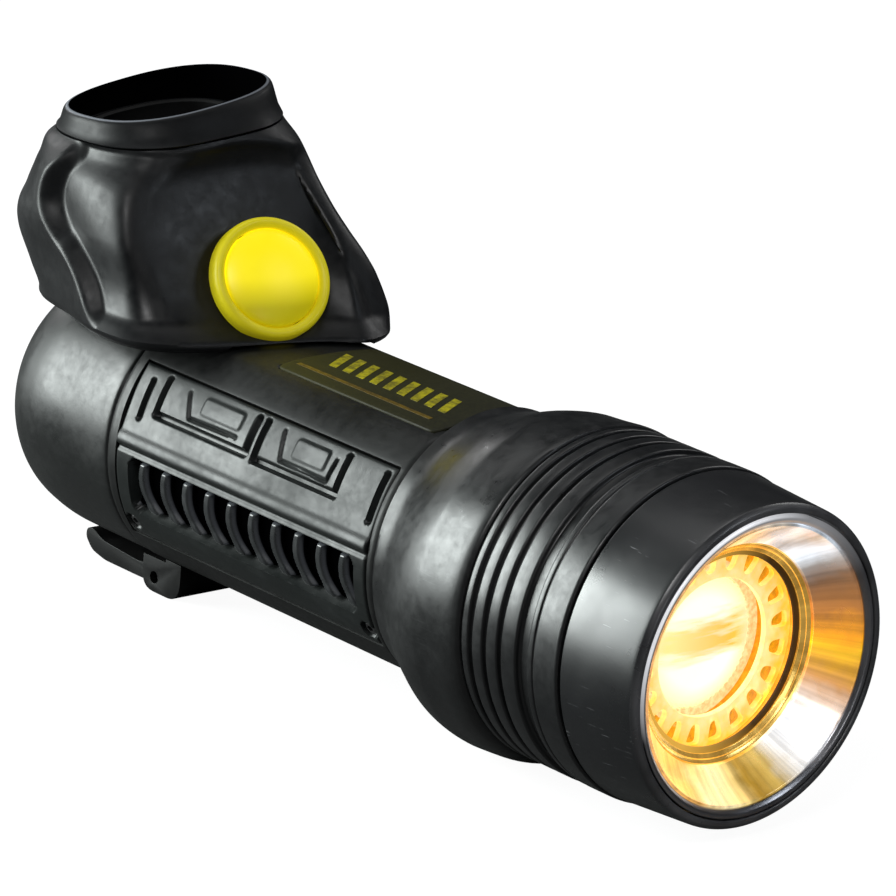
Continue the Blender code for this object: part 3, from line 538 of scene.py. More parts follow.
# black coats: colour, rubbed colour, roughness and its spread, grain depth, specular level
BLACKS = {"head_black": ((0.0065, 0.007, 0.0072), (0.03, 0.031, 0.032), 0.37, 0.09, 0.004, 0.6),
          "ring_black": ((0.006, 0.0065, 0.007), (0.03, 0.03, 0.031), 0.35, 0.06, 0.003, 0.6),
          "housing_plastic": ((0.0055, 0.006, 0.0058), (0.02, 0.021, 0.02), 0.45, 0.07, 0.012, 0.34),
          "panel_charcoal": ((0.009, 0.011, 0.0105), (0.036, 0.04, 0.039), 0.4, 0.12, 0.01, 0.34),
          "louvre_black": ((0.018, 0.020, 0.021), (0.08, 0.085, 0.09), 0.3, 0.08, 0.006, 0.7),
          "hood_black": ((0.0045, 0.005, 0.0056), (0.018, 0.019, 0.021), 0.42, 0.08, 0.006, 0.37),
          "mouth_black": ((0.0055, 0.006, 0.0066), (0.014, 0.015, 0.017), 0.46, 0.06, 0.006, 0.2),
          "tail_black": ((0.008, 0.009, 0.0088), (0.03, 0.032, 0.031), 0.4, 0.09, 0.009, 0.55),
          "latch_black": ((0.003, 0.003, 0.003), (0.012, 0.012, 0.012), 0.5, 0.06, 0.009, 0.25)}


def worn_black_with_painted_shade(name, mask=None, edge=0.0):
    """Black finish with cloudy gloss, fine grain, rubbed patches and sparse scratches.

    A shading function, when given, paints the hollows near black and without gloss as painted shade, and edge
    is the strength of a painted highlight along the border of the hollow.
    """
    color, light, rough, blotch, grain_mm, specular = BLACKS[name]
    made = Finish(name, Specular_IOR_Level=specular)
    clouds = made.noise(46.0, 5.0, 0.62)
    fine = made.noise(420.0, 4.0, 0.6)
    marks = made.math("MAXIMUM", made.scratches((0.0, 0.0, 0.35)), made.scratches((0.5, 0.2, -0.6), 0.35))
    rubbed = made.times(made.spread(clouds, 0.45, 0.75), made.spread(fine, 0.3, 0.7))
    base = made.mix(made.math("MAXIMUM", made.times(rubbed, 0.4), marks), color, light)
    if mask is not None:
        out_of_shade = mask(made)
        # painted shade: the hollows are painted near black
        base = made.mix(out_of_shade, (0.0006, 0.0006, 0.0007), base)
        # painted highlight: a pale band where the hollow meets the outside, as strong as edge says
        between = made.times(out_of_shade, made.math("SUBTRACT", 1.0, out_of_shade))
        base = made.mix(made.times(between, edge * 4.0), base, (0.30, 0.32, 0.36))
        # painted shade: the hollows lose their specular gloss
        made.set("Specular IOR Level", made.times(out_of_shade, specular))
    made.set("Base Color", base)
    cloudy = made.spread(clouds, 0.32, 0.68, rough - blotch, rough + blotch)
    made.set("Roughness", made.math("ADD", cloudy, made.spread(fine, 0.3, 0.7, -0.06, 0.06)))
    made.grain(5200.0, grain_mm)
    made.bump(made.noise(38.0, 1.0), 0.05, 0.35)
    return made.made


# ---------------- materials

def rim_black():
    """Bezel coat with a rubbed, brighter chamfer at the front."""
    made = Finish("rim_black", Specular_IOR_Level=0.75)
    x, _, _ = made.parts()
    front = made.spread(x, (FRONT_X - 1.2) * MM, (FRONT_X - 0.2) * MM)
    clouds = made.noise(52.0, 5.0, 0.6)
    rubbed = made.times(front, made.spread(made.noise(90.0, 2.0), 0.25, 0.7, 0.1, 0.5))
    marks = made.scratches((0.2, 0.0, 0.4), 0.6)
    made.tones(made.math("MAXIMUM", rubbed, marks), (0.007, 0.0075, 0.0085), (0.22, 0.22, 0.23))
    made.gloss(clouds, 0.3, 0.7, 0.24, 0.4)
    made.grain(4600.0, 0.004)
    return made.made


def bare_rim():
    """Turned metal ring with a painted highlight glowing along its outer crest on the upper right, and a
    faint painted glow over its top.
    """
    made = Finish("bare_rim", Metallic=1.0)
    tone = made.noise(120.0, 3.0)
    made.tones(tone, (0.3, 0.3, 0.32), (0.42, 0.42, 0.44))
    made.gloss(tone, 0.3, 0.7, 0.26, 0.38)
    _, y, z = made.parts()
    crest = made.spread(made.off_axis(y, z), 30.0 * MM, 30.35 * MM)
    turn = made.math("ARCTAN2", z, made.times(y, -1.0))
    near = made.times(made.spread(turn, -0.35, 0.25), made.spread(turn, 1.9, 1.3))
    above = made.times(made.spread(turn, 0.6, 1.3), made.spread(turn, 2.6, 2.0))
    # painted highlight: the crest glows in the upper right window, and the top gets a faint painted glow
    lit_edge = made.times(made.times(crest, near), 0.7)
    made.glow((0.95, 0.96, 1.0), made.math("ADD", lit_edge, made.times(above, 0.2)))
    made.grain(2500.0, 0.002)
    return made.made


def soft_rubber():
    made = Finish("soft_rubber", Specular_IOR_Level=0.25)
    pores = made.noise(900.0, 4.0)
    made.tones(pores, (0.004, 0.004, 0.004), (0.01, 0.01, 0.01))
    made.gloss(pores, 0.3, 0.7, 0.75, 0.92)
    made.bump(pores, 0.03)
    return made.made


def olive_label():
    """Olive-black plate, with a slightly greener cast towards the hood."""
    made = Finish("olive_label", Specular_IOR_Level=0.22)
    x, _, _ = made.parts()
    along = made.spread(x, (FRONT_X + LABEL_BACK) * MM, (FRONT_X + LABEL_FRONT) * MM)
    grain = made.noise(1400.0, 3.0)
    base = made.mix(along, (0.03, 0.029, 0.004), (0.012, 0.012, 0.006))
    made.tones(made.spread(grain, 0.35, 0.75, 0.0, 0.5), base, (0.04, 0.038, 0.012))
    made.gloss(made.noise(60.0, 4.0), 0.3, 0.7, 0.5, 0.66)
    made.bump(grain, 0.01)
    return made.made


def label_ink(name, color, dark):
    """Printed mark that has rubbed thin in places."""
    made = Finish(name, Specular_IOR_Level=0.4)
    worn = made.spread(made.noise(520.0, 5.0, 0.7), 0.38, 0.62)
    made.tones(worn, dark, color)
    made.gloss(worn, 0.0, 1.0, 0.55, 0.4)
    made.bump(worn, 0.01)
    return made.made


def yellow(name, scale, tones, rough, glow, low, high, **values):
    """Yellow plastic with a painted glow that grows towards its top as painted light from above: low and high
    pair a height with an emission strength.
    """
    made = Finish(name, Specular_IOR_Level=0.4, **values)
    clouds = made.noise(scale, 4.0)
    made.tones(made.spread(clouds, 0.3, 0.7), *tones)
    _, _, z = made.parts()
    # painted light: the glow rises with height, so the top reads lit and the lower part shaded
    made.glow(glow, made.spread(z, low[0] * MM, high[0] * MM, low[1], high[1]))
    made.gloss(clouds, 0.3, 0.7, *rough)
    made.grain(3600.0, 0.008)
    return made.made


def button_yellow():
    # painted light on the cap: glow from 0.06 low down to 0.56 at the top
    return yellow("button_yellow", 90.0, ((0.93, 0.80, 0.004), (1.0, 0.88, 0.008)), (0.3, 0.44),
                  (1.0, 0.80, 0.01), (33.6, 0.06), (39.4, 0.56),
                  Subsurface_Weight=0.05, Subsurface_Radius=(0.002, 0.0015, 0.0003))


def ring_yellow():
    # painted light on the ring: glow from 0.14 low down to 0.24 at the top
    return yellow("ring_yellow", 140.0, ((0.68, 0.60, 0.008), (0.78, 0.69, 0.012)), (0.34, 0.5),
                  (0.9, 0.76, 0.01), (28.0, 0.14), (48.0, 0.24))


def seat_gold():
    """Bright gold turned on a lathe: gloss varies in fans round the beam axis, and a painted amber glow in
    the same fans stands for the lamp's light on it.
    """
    made = Finish("seat_gold", Metallic=1.0)
    x, y, z = made.parts()
    lines = made.rays(made.math("ARCTAN2", z, y), x)
    fans = made.noise(4.0, 4.0, 0.65, lines)
    made.tones(made.spread(fans, 0.35, 0.65), (0.75, 0.46, 0.11), (0.98, 0.74, 0.26))
    # painted light: an amber glow of the lamp's light on the ring
    made.glow((1.0, 0.55, 0.09), made.spread(fans, 0.3, 0.7, 0.15, 0.45))
    made.gloss(fans, 0.3, 0.7, 0.12, 0.3)
    made.bump(made.noise(90.0, 2.0, 0.5, lines), 0.006)
    return made.made


# painted reflections round the polished cone, of the lamp's light and of the room: degrees about the beam
# axis (0 to the lamp's left, 90 up), colour
CONE_PAINTED_REFLECTIONS = ((-180, (0.90, 0.45, 0.16)), (-125, (0.78, 0.42, 0.12)), (-112, (0.70, 0.36, 0.08)),
             (-99, (1.0, 0.86, 0.50)), (-88, (0.95, 0.72, 0.26)), (-78, (0.38, 0.21, 0.015)),
             (-68, (0.62, 0.42, 0.10)), (-58, (0.95, 0.93, 0.90)), (-44, (0.78, 0.80, 0.84)),
             (-33, (0.95, 0.80, 0.70)), (-20, (0.62, 0.30, 0.10)), (-11, (0.85, 0.42, 0.03)),
             (-4, (1.0, 0.55, 0.01)), (4, (0.95, 0.36, 0.005)), (14, (0.42, 0.16, 0.03)),
             (30, (0.20, 0.10, 0.05)), (42, (0.24, 0.22, 0.21)), (54, (0.62, 0.70, 0.78)),
             (62, (0.26, 0.29, 0.33)), (72, (0.72, 0.80, 0.90)), (82, (0.24, 0.24, 0.24)),
             (92, (0.60, 0.50, 0.38)), (104, (0.62, 0.36, 0.14)), (180, (0.90, 0.45, 0.16)))


def cone_silver():
    """Polished funnel with painted reflections of its own lamp and of the room: fans of silver, amber and
    white, in its colour and as a glow.
    """
    made = Finish("cone_silver", Metallic=1.0)
    x, y, z = made.parts()
    turn = made.math("ARCTAN2", z, y)
    ripple = made.spread(made.noise(90.0, 4.0), 0.3, 0.7, -0.012, 0.012)
    fans = made.node("ShaderNodeValToRGB")
    made.put(fans.inputs["Fac"], made.math("ADD", made.spread(turn, -math.pi, math.pi), ripple))
    colors = fans.color_ramp.elements
    for degrees, _ in CONE_PAINTED_REFLECTIONS[1:-1]:
        colors.new((degrees + 180.0) / 360.0)
    for element, (degrees, color) in zip(colors, CONE_PAINTED_REFLECTIONS):
        element.position = (degrees + 180.0) / 360.0
        element.color = (*color, 1.0)
    # painted reflection: the base colour is mostly the fan colours
    made.tones(0.25, fans.outputs["Color"], (0.8, 0.8, 0.8))
    # painted reflection: the fans also glow, in streaks, stronger deep in the funnel
    streak = made.spread(made.noise(13.0, 3.0, 0.6, made.rays(turn)), 0.35, 0.65, 0.72, 1.25)
    depth = made.spread(x, (FRONT_X - 8.6) * MM, (FRONT_X - 0.9) * MM, 1.05, 0.85)
    made.glow(fans.outputs["Color"], made.times(depth, streak))
    made.gloss(made.noise(120.0, 3.0), 0.3, 0.7, 0.2, 0.3)
    made.grain(900.0, 0.003)
    return made.made


def gasket_brown():
    """Dark seal with a painted glow of the lamp's light everywhere but on the lamp's left, where it stays in
    painted shade.
    """
    made = Finish("gasket_brown", Roughness=0.6)
    grain = made.noise(500.0, 4.0)
    made.tones(grain, (0.03, 0.012, 0.004), (0.09, 0.035, 0.01))
    _, y, z = made.parts()
    side = made.math("ABSOLUTE", made.math("ARCTAN2", z, y))
    # painted light: the glow fades out towards the lamp's left
    made.glow((1.0, 0.55, 0.08), made.spread(side, 1.0, 2.0, 0.02, 0.7))
    made.bump(grain, 0.01)
    return made.made


def clear_window():
    """Thin clear pane: mostly see-through, with a fresnel gloss."""
    made = Finish("clear_window")
    through = made.node("ShaderNodeBsdfTransparent")
    gloss = made.node("ShaderNodeBsdfGlossy")
    made.put(gloss.inputs["Roughness"], made.spread(made.noise(160.0, 4.0), 0.3, 0.7, 0.02, 0.09))
    facing = made.node("ShaderNodeLayerWeight").outputs["Facing"]
    blend = made.node("ShaderNodeMixShader")
    share = made.spread(made.math("POWER", facing, 3.0), 0.0, 1.0, 0.03, 0.35)
    for socket, value in zip(blend.inputs, (share, through.outputs[0], gloss.outputs[0])):
        made.put(socket, value)
    made.put(made.tree.nodes["Material Output"].inputs["Surface"], blend.outputs[0])
    made.tree.nodes.remove(made.shader)
    return made.made


def lit(made, color, strength, bump_scale, bump_mm):
    """Finish a surface with a glow in its own colour: the hot lens, and the parts painted with a glow of the
    lamp's light.
    """
    made.set("Base Color", color)
    made.glow(color, strength)
    made.bump(made.noise(bump_scale, 2.0), bump_mm)
    return made.made


def patchy_glow(name, cool, hot, strength):
    """Surface painted with a glow of the lamp's light, patchy between two colours."""
    made = Finish(name, Roughness=0.3)
    patch = made.spread(made.noise(900.0, 3.0), 0.35, 0.65)
    return lit(made, made.mix(patch, cool, hot), strength, 1500.0, 0.01)


def lit_plate():
    """Gold plate painted with a glow of the lamp's light: pale near the lens, deeper gold at its outer edge.
    """
    made = Finish("lit_plate", Metallic=0.6, Roughness=0.3)
    _, y, z = made.parts()
    fade = made.spread(made.off_axis(y, z), 14.0 * MM, 21.0 * MM)
    patch = made.spread(made.noise(420.0, 3.0), 0.35, 0.65, -0.25, 0.25)
    color = made.mix(made.math("ADD", fade, patch), (1.0, 0.84, 0.36), (1.0, 0.57, 0.05))
    return lit(made, color, 0.88, 1500.0, 0.02)


def hot_lens():
    """Centre lens: white-hot above and below, with a yellow band of fine streaks across the middle."""
    made = Finish("hot_lens", Roughness=0.12)
    _, y, z = made.parts()
    streaks = made.noise(3.0, 3.0, 0.6, made.mapped((1.0, 22.0, 190.0)))
    ripple = made.spread(streaks, 0.3, 0.7, -2.4 * MM, 2.4 * MM)
    height = made.math("ABSOLUTE", made.math("ADD", made.math("SUBTRACT", z, 0.6 * MM), ripple))
    white = made.spread(height, 1.0 * MM, 5.2 * MM)
    rim = made.spread(made.off_axis(y, z), 9.0 * MM, 13.0 * MM)
    band = made.mix(made.spread(y, -7.0 * MM, 9.0 * MM), (1.0, 0.84, 0.34), (1.0, 0.52, 0.05))
    core = made.mix(white, band, (1.0, 0.96, 0.84))
    color = made.mix(rim, core, (1.0, 0.70, 0.46))
    return lit(made, color, made.spread(white, 0.0, 1.0, 0.78, 1.0), 320.0, 0.05)


def dyed(name, low, high, rough, metal=0.0, scale=500.0):
    """Plain factory finish with slight mottling, for inner parts."""
    made = Finish(name, Metallic=metal)
    patch = made.noise(scale, 4.0)
    made.tones(made.spread(patch, 0.3, 0.7), low, high)
    made.gloss(patch, 0.3, 0.7, rough - 0.06, rough + 0.08)
    made.grain(3000.0, 0.006)
    return made.made


# ---------------- head

def bezel():
    """Front shell: chamfered mouth, seats for the optics and a groove for the head seal."""
    profile = [(-0.9, BEZEL_R - 1.2), (-0.25, BEZEL_R - 1.75), (0.0, BEZEL_R - 2.1), (0.0, 31.2),
               (-0.3, 31.0), (-3.8, 31.0), (-3.8, 29.5), (-14.2, 29.5), (-14.2, 26.4), (-30.0, 26.4),
               (-30.0, 28.0), (-26.9, 28.0), (-26.9, 26.95), (-24.7, 26.95), (-24.7, 28.0), (-20.0, 28.0),
               (-20.0, BEZEL_R - 0.5), (-19.5, BEZEL_R), (-2.2, BEZEL_R - 1.1)]
    return lathe("bezel_look", profile, 0.3)


def lip_ring():
    profile = [(-0.9, 28.9), (-0.15, 29.7), (0.0, 30.35), (-0.25, 30.75), (-3.5, 30.75), (-3.5, 28.9)]
    return lathe("lip_ring_look", profile, 0.22)


def cone():
    """Polished funnel with a gentle curve, and the seat behind it."""
    wall = []
    for step in range(19):
        part = step / 18.0
        wall.append((-0.9 - 7.7 * part, 28.3 - 5.7 * part + 0.35 * math.sin(math.pi * part)))
    profile = wall + [(-9.4, 22.6), (-9.4, 23.6), (-5.6, 26.6), (-5.6, 29.2), (-3.9, 29.2), (-3.9, 28.75),
                      (-0.9, 28.75)]
    return lathe("cone_look", profile, 0.1)


def seat_ring():
    profile = [(-9.0, 22.3), (-9.5, 21.6), (-9.8, 21.5), (-10.2, 20.6), (-10.6, 20.6), (-10.6, 21.3),
               (-13.9, 21.3), (-13.9, 29.2), (-9.7, 29.2), (-9.7, 22.6)]
    return lathe("seat_ring_look", profile, 0.12)


def gasket():
    return lathe("gasket_look", [(-10.9, 19.5), (-11.5, 19.5), (-11.5, 21.0), (-10.9, 21.0)], 0.2)


def window():
    return lathe("window_look", [(-13.1, 0.0), (-13.1, 20.9), (-11.8, 20.9), (-11.8, 0.0)], 0.1, True, 96)


def slot_tool(turn):
    """Rounded wedge that pierces the plate at one angle."""
    outline = soften([(-2.0, 1.1), (2.1, 1.95), (2.1, -1.95), (-2.0, -1.1)], 1.3, 5)
    c, s = math.cos(turn), math.sin(turn)
    return [[(level, (SLOT_CENTRE_R + out) * c - side * s, (SLOT_CENTRE_R + out) * s + side * c)
             for out, side in outline] for level in (-15.6, -12.6)]


def ring_plate():
    plate = lathe("ring_plate_look", [(-13.4, 14.2), (-14.8, 14.2), (-14.8, 20.9), (-13.4, 20.9)], 0.2)
    slots = [skin(slot_tool(math.tau * (index + 0.5) / SLOT_COUNT)) for index in range(SLOT_COUNT)]
    return rounded(carve(plate, [solid("slots", *join(slots))]), 0.16, 2)


def light_engine():
    """Barrel behind the plate, whose front land shows through the slots."""
    return lathe("light_engine_look", [(-15.2, 17.0), (-29.6, 17.0), (-29.6, 26.0), (-15.2, 26.0)], 0.3)


def lens_holder():
    profile = [(-18.2, 14.0), (-26.0, 14.0), (-26.0, 16.6), (-18.2, 16.6)]
    return lathe("lens_holder_look", profile, 0.3, segs=96)


def centre_lens():
    """Domed optic with a serrated flange."""
    profile = [(-21.5, 0.0), (-21.9, 3.2), (-26.0, 4.2), (-26.0, 6.4), (-21.0, 12.4), (-19.6, 13.5),
               (-17.6, 13.6), (-17.3, 13.0), (-17.3, 12.2)]
    for step in range(13):
        radius = LENS_R * (1.0 - step / 12.0)
        profile.append((-16.05 - LENS_CROWN * (radius / LENS_R) ** 2, radius))
    rows = []
    for x, radius in profile:
        row = []
        for step, turn in enumerate(turns(FLANGE_POINTS)):
            reach = radius - (TOOTH * (step // 2 % 2) if radius > 12.3 and x > -20.0 else 0.0)
            row.append((x, reach * math.cos(turn), reach * math.sin(turn)))
        rows.append(row)
    points, faces = skin(rows)
    return solid("centre_lens_look", points, faces[:-2], 60.0)


def focus_ring():
    """Grip ring: rounded ribs between four grooves, then a plain land with a hairline."""
    depth = RING_R - 1.15
    profile = [(RING_FRONT, 31.0), (RING_FRONT, RING_R - 0.35), (RING_FRONT - 0.35, RING_R),
               (-26.95, RING_R), (-27.05, RING_R - 0.3), (-27.35, RING_R - 0.3), (-27.45, RING_R - 0.05),
               (-28.9, RING_R - 0.05), (-29.1, depth), (-32.1, depth), (-32.3, RING_R)]
    for middle in (-37.1, -41.5, -45.6):
        profile += [(middle + ahead, radius) for ahead, radius in
                    ((0.62, RING_R), (0.5, depth), (-0.5, depth), (-0.62, RING_R))]
    profile += [(RING_BACK + 0.4, RING_R), (RING_BACK, RING_R - 0.4), (RING_BACK, 31.0)]
    return lathe("focus_ring_look", profile, 0.42)


def bell():
    """Head shell: sleeve under the grip ring, then a bell drawn down to the barrel, flat at the foot."""
    outside = ((48.6, 34.7, 0.0), (50.4, 35.4, 0.5), (54.0, SHELL_R, 1.1), (61.0, SHELL_R, 1.6),
               (67.0, 34.6, 1.9), (72.0, 32.6, 1.6), (76.5, 30.6, 0.8), (81.0, 29.6, 0.0))
    rows = [circle(SHELL_FRONT, 30.6), circle(-48.6, 30.6), circle(-48.6, 34.0), circle(-48.7, 34.4)]
    for back in stops(48.9, 80.8, 0.6):
        radius, drop = fit(outside, back)
        rows.append([(x, y, -soft_min(-(z - drop), -FOOT_Z, 0.5))
                     for x, y, z in circle(-back, min(radius, SHELL_R))])
    rows += [circle(x, radius) for x, radius in
             ((SHELL_BACK, 29.3), (SHELL_BACK, 27.1), (-70.0, 27.1), (-70.0, 26.0), (-53.0, 26.0),
              (-48.6, 28.4), (SHELL_FRONT, 28.4))]
    return solid("bell_look", *skin(rows, loop=True), 50.0)


# ---------------- barrel

def deck(y):
    return DECK_Z + 0.4 * (1.0 - min(abs(y) / DECK_HALF, 1.0) ** 2)


def housing_point(x, degrees):
    """Barrel wall with its flat deck, label recess and side pockets."""
    turn = math.radians(degrees)
    lift = degrees if degrees <= 90.0 else 180.0 - degrees
    fall = roll(min(x - HOUSING_BACK, HOUSING_FRONT - x), END_ROUND)
    gap = box_gap(x, lift * ARC, (PANEL_BACK - SEAM, (PANEL_LOW_DEG - POCKET_GAP_DEG) * ARC),
                  (PANEL_FRONT + SEAM, (PANEL_TOP_DEG + POCKET_GAP_DEG) * ARC), 0.6)
    radius = min(BARREL_R - fall, POCKET_R + (BARREL_R - POCKET_R) * ramp(gap, -0.08, 0.08))
    y = radius * math.cos(turn)
    z = radius * math.sin(turn)
    gap = box_gap(x, y, (LABEL_BACK - SEAM, -LABEL_HALF - SEAM), (LABEL_FRONT + SEAM, LABEL_HALF + SEAM),
                  LABEL_CORNER)
    top = deck(y) - fall - LABEL_SINK * (1.0 - ramp(gap, -0.08, 0.08))
    return (x, y, soft_min(z, top, 1.2) if degrees > 0.0 else z)


def housing():
    xs = stops(HOUSING_BACK, HOUSING_FRONT, 0.75,
               (PANEL_BACK - SEAM, PANEL_FRONT + SEAM, LABEL_BACK - SEAM, LABEL_FRONT + SEAM))
    edges = [PANEL_LOW_DEG - POCKET_GAP_DEG, PANEL_TOP_DEG + POCKET_GAP_DEG,
             math.degrees(math.acos((LABEL_HALF + SEAM) / BARREL_R))]
    around = stops(-90.0, 269.0, 1.25, edges + [180.0 - edge for edge in edges], 0.14)
    neck = ((-175.6, 22.6), (-175.6, 24.7), (-173.9, 24.7), (-173.9, 23.9), (-171.9, 23.9), (-171.9, 24.7),
            (HOUSING_BACK, 24.7))
    nose = ((HOUSING_FRONT, 26.7), (-70.4, 26.7), (-70.4, 22.6))
    rows = [[polar(x, degrees, radius) for degrees in around] for x, radius in neck]
    rows += [[housing_point(x, degrees) for degrees in around] for x in xs]
    rows += [[polar(x, degrees, radius) for degrees in around] for x, radius in nose]
    return solid("housing_look", *skin(rows, loop=True), 45.0)


# outside radius of the panel by angle
PANEL_SECTION = ((-38.0, 29.1), (-30.0, 29.4), (-25.0, 29.35), (-12.0, 29.3), (1.0, 29.3), (2.4, 29.25),
                 (3.4, 28.85), (4.4, 28.95), (5.4, 29.75), (8.6, 29.75), (12.0, 28.95), (22.0, 28.7),
                 (34.0, 29.0), (41.0, 29.2))


def u_path(back, front, low, high):
    return ((back, high), (back, low), (front, low), (front, high))


# places along the lamp and degrees round it, then half width and depth of each groove
PANEL_GROOVES = ((((-160.5, 18.0), (-160.5, 34.0)), 0.7, 1.5),
                 (((-85.9, 17.0), (-85.9, 37.0)), 0.7, 1.5),
                 (u_path(-155.9, -126.5, 21.8, 37.4), 0.75, 1.7),
                 (u_path(-123.7, -97.7, 20.8, 37.4), 0.75, 1.7),
                 (((-148.6, 36.0), (-146.0, 25.8), (-130.7, 26.2)), 0.32, 0.8),
                 (((-118.0, 37.0), (-116.0, 25.0), (-101.2, 24.6), (-100.6, 34.2)), 0.32, 0.8))
# raised pads inside the grooves: back, front, low and high degrees
PANEL_PADS = ((-143.4, -130.2, 28.6, 37.0), (-113.4, -102.8, 27.4, 36.6))
GROOVES = [([(x, degrees * ARC) for x, degrees in path], half, depth) for path, half, depth in PANEL_GROOVES]


def panel_radius(x, degrees):
    """Outside of the side panel at one place."""
    s = degrees * ARC
    radius = fit(PANEL_SECTION, degrees)[0]
    for back, front, low, high in PANEL_PADS:
        gap = box_gap(x, s, (back, low * ARC), (front, high * ARC), 1.0)
        radius += PAD_RISE * ramp(-gap, -0.05, 0.45)
    for path, half, depth in GROOVES:
        radius -= depth * (1.0 - ramp(path_gap(x, s, path) - half, -0.32, 0.22))
    gap = box_gap(x, s, (LOUVRE_BACK - SEAM, WINDOW_LOW_DEG * ARC),
                  (LOUVRE_FRONT + SEAM, WINDOW_TOP_DEG * ARC), 2.4)
    radius += (WINDOW_FLOOR_R - radius) * (1.0 - ramp(gap, -0.28, 0.14))
    for _, centre in SCREW_XS:
        gap = math.hypot(x - centre, s - SCREW_DEG * ARC) - SCREW_WELL_R
        radius += (SCREW_FLOOR_R - radius) * (1.0 - ramp(gap, -0.2, 0.12))
    around = min(degrees - PANEL_LOW_DEG, PANEL_TOP_DEG - degrees) * ARC
    return radius - roll(min(x - PANEL_BACK, PANEL_FRONT - x, around), PANEL_ROUND)


def curved_strip(name, xs, angles, outside, inside, side):
    """Strip round the barrel with a shaped outside and a plain back at one radius."""
    rows = []
    for degrees in angles:
        row = [polar(x, degrees, outside(x, degrees), side) for x in xs]
        rows.append(row + [polar(x, degrees, inside, side) for x in (xs[-1], xs[0])])
    return solid(name, *skin(rows), 60.0)


def side_panel(side, name):
    xs = stops(PANEL_BACK, PANEL_FRONT, 0.34, (PANEL_BACK + 0.12, PANEL_FRONT - 0.12), 0.05)
    angles = stops(PANEL_LOW_DEG, PANEL_TOP_DEG, 0.72, (PANEL_LOW_DEG + 0.25, PANEL_TOP_DEG - 0.25), 0.1)
    return curved_strip(name, xs, angles, panel_radius, PANEL_IN_R, side)


def louvre_radius(x, degrees):
    """Swept fins standing on a thin strip: each bends forward and thickens towards its foot."""
    pitch = (LOUVRE_FRONT - LOUVRE_BACK) / RIB_COUNT
    height = WINDOW_TOP_DEG - WINDOW_LOW_DEG - 2.0 * WINDOW_GAP_DEG
    down = min(max((WINDOW_TOP_DEG - WINDOW_GAP_DEG - degrees) / height, 0.0), 1.0)
    sweep = RIB_SWEEP * down ** 2.2 - RIB_BOW * math.sin(math.pi * down)
    offset = (x - LOUVRE_BACK - sweep + 0.2) % pitch - pitch * 0.5
    fin = 1.0 - ramp(abs(offset) - RIB_HALF - RIB_FLARE * down ** 3, -0.75, 0.5)
    crest = RIB_CREST_R + 0.25 * math.sin(math.pi * down) + 0.35 * ramp(down, 0.72, 0.9)
    fade = ramp(down, 0.0, 0.07) * (1.0 - ramp(down, 0.93, 1.0))
    return STRIP_R + (crest - STRIP_R) * fin * fade


def louvre(side, name):
    xs = stops(LOUVRE_BACK, LOUVRE_FRONT, 0.3)
    angles = stops(WINDOW_LOW_DEG + WINDOW_GAP_DEG, WINDOW_TOP_DEG - WINDOW_GAP_DEG, 0.5)
    return curved_strip(name, xs, angles, louvre_radius, STRIP_FOOT_R, side)


def panel_screw(name, x, side):
    """Small cap screw with a hexagon socket, standing on the barrel wall."""
    out = Vector(polar(0.0, SCREW_DEG, 1.0, side))
    across = Vector((1.0, 0.0, 0.0))
    other = out.cross(across)
    centre = Vector((x, 0.0, 0.0)) + out * SCREW_SEAT_R
    outline = [(0.0, 0.8), (1.9, 0.8), (1.9, 1.7), (3.7, 1.7), (4.1, 1.3), (4.1, 0.95)]
    levels = [(level, radius, False) for level, radius in [(0.0, 0.02)] + soften(outline, 0.15, closed=False)]
    levels += [(4.1, 0.86, True), (2.9, 0.86, True), (2.9, 0.02, True)]
    rows = []
    for level, radius, socket in levels:
        row = []
        for turn in turns(48):
            hexagon = math.cos(math.pi / 6.0) / math.cos((turn % (math.pi / 3.0)) - math.pi / 6.0)
            reach = radius * hexagon if socket else radius
            row.append(centre + out * level + (across * math.cos(turn) + other * math.sin(turn)) * reach)
        rows.append(row)
    return solid(name, *skin(rows), 35.0)


def label_top(y):
    return DECK_Z + 0.15 + 0.85 * (1.0 - (y / DECK_HALF) ** 2)


def label():
    corners = [(LABEL_BACK, -LABEL_HALF), (LABEL_FRONT, -LABEL_HALF), (LABEL_FRONT, LABEL_HALF),
               (LABEL_BACK, LABEL_HALF)]
    outline = soften(corners, LABEL_CORNER, 8)
    spots = []
    for index, point in enumerate(outline):
        after = outline[(index + 1) % len(outline)]
        count = max(int((after - point).length / 1.6), 1)
        spots += [point.lerp(after, step / count) for step in range(count)]
    middle = Vector(((LABEL_BACK + LABEL_FRONT) / 2.0, 0.0))
    rows = [[(p.x, p.y, DECK_Z - 0.6) for p in spots]]
    for inset, fall in ((0.0, 0.3), (0.05, 0.14), (0.16, 0.04), (0.32, 0.0)):
        pulled = [p - (p - middle).normalized() * inset for p in spots]
        rows.append([(p.x, p.y, label_top(p.y) - fall) for p in pulled])
    for scale in (0.9, 0.7, 0.45, 0.2, 0.02):
        pulled = [middle + (p - middle) * scale for p in spots]
        rows.append([(p.x, p.y, label_top(p.y)) for p in pulled])
    return solid("label_look", *skin(rows), 50.0)


def mark(back, front, low, high, slant=0.0):
    """One thin printed bar lying on the crown of the label."""
    rows = []
    for step in range(7):
        part = step / 6.0
        y = low + (high - low) * part
        ends = (back + slant * part, front + slant * part)
        foot, crest = label_top(y) - 0.1, label_top(y) + 0.05
        rows.append([(ends[0], y, foot), (ends[1], y, foot), (ends[1], y, crest), (ends[0], y, crest)])
    return skin(rows)


def label_bars():
    """Slanted hazard bars: a plain stand-in for the printed mark."""
    backs = [BARS_BACK + BAR_PITCH * index for index in range(BAR_COUNT)]
    bars = [mark(back, back + BAR_WIDTH, -4.8, 3.6, BAR_SLANT) for back in backs]
    return solid("label_bars", *join(bars), 30.0)


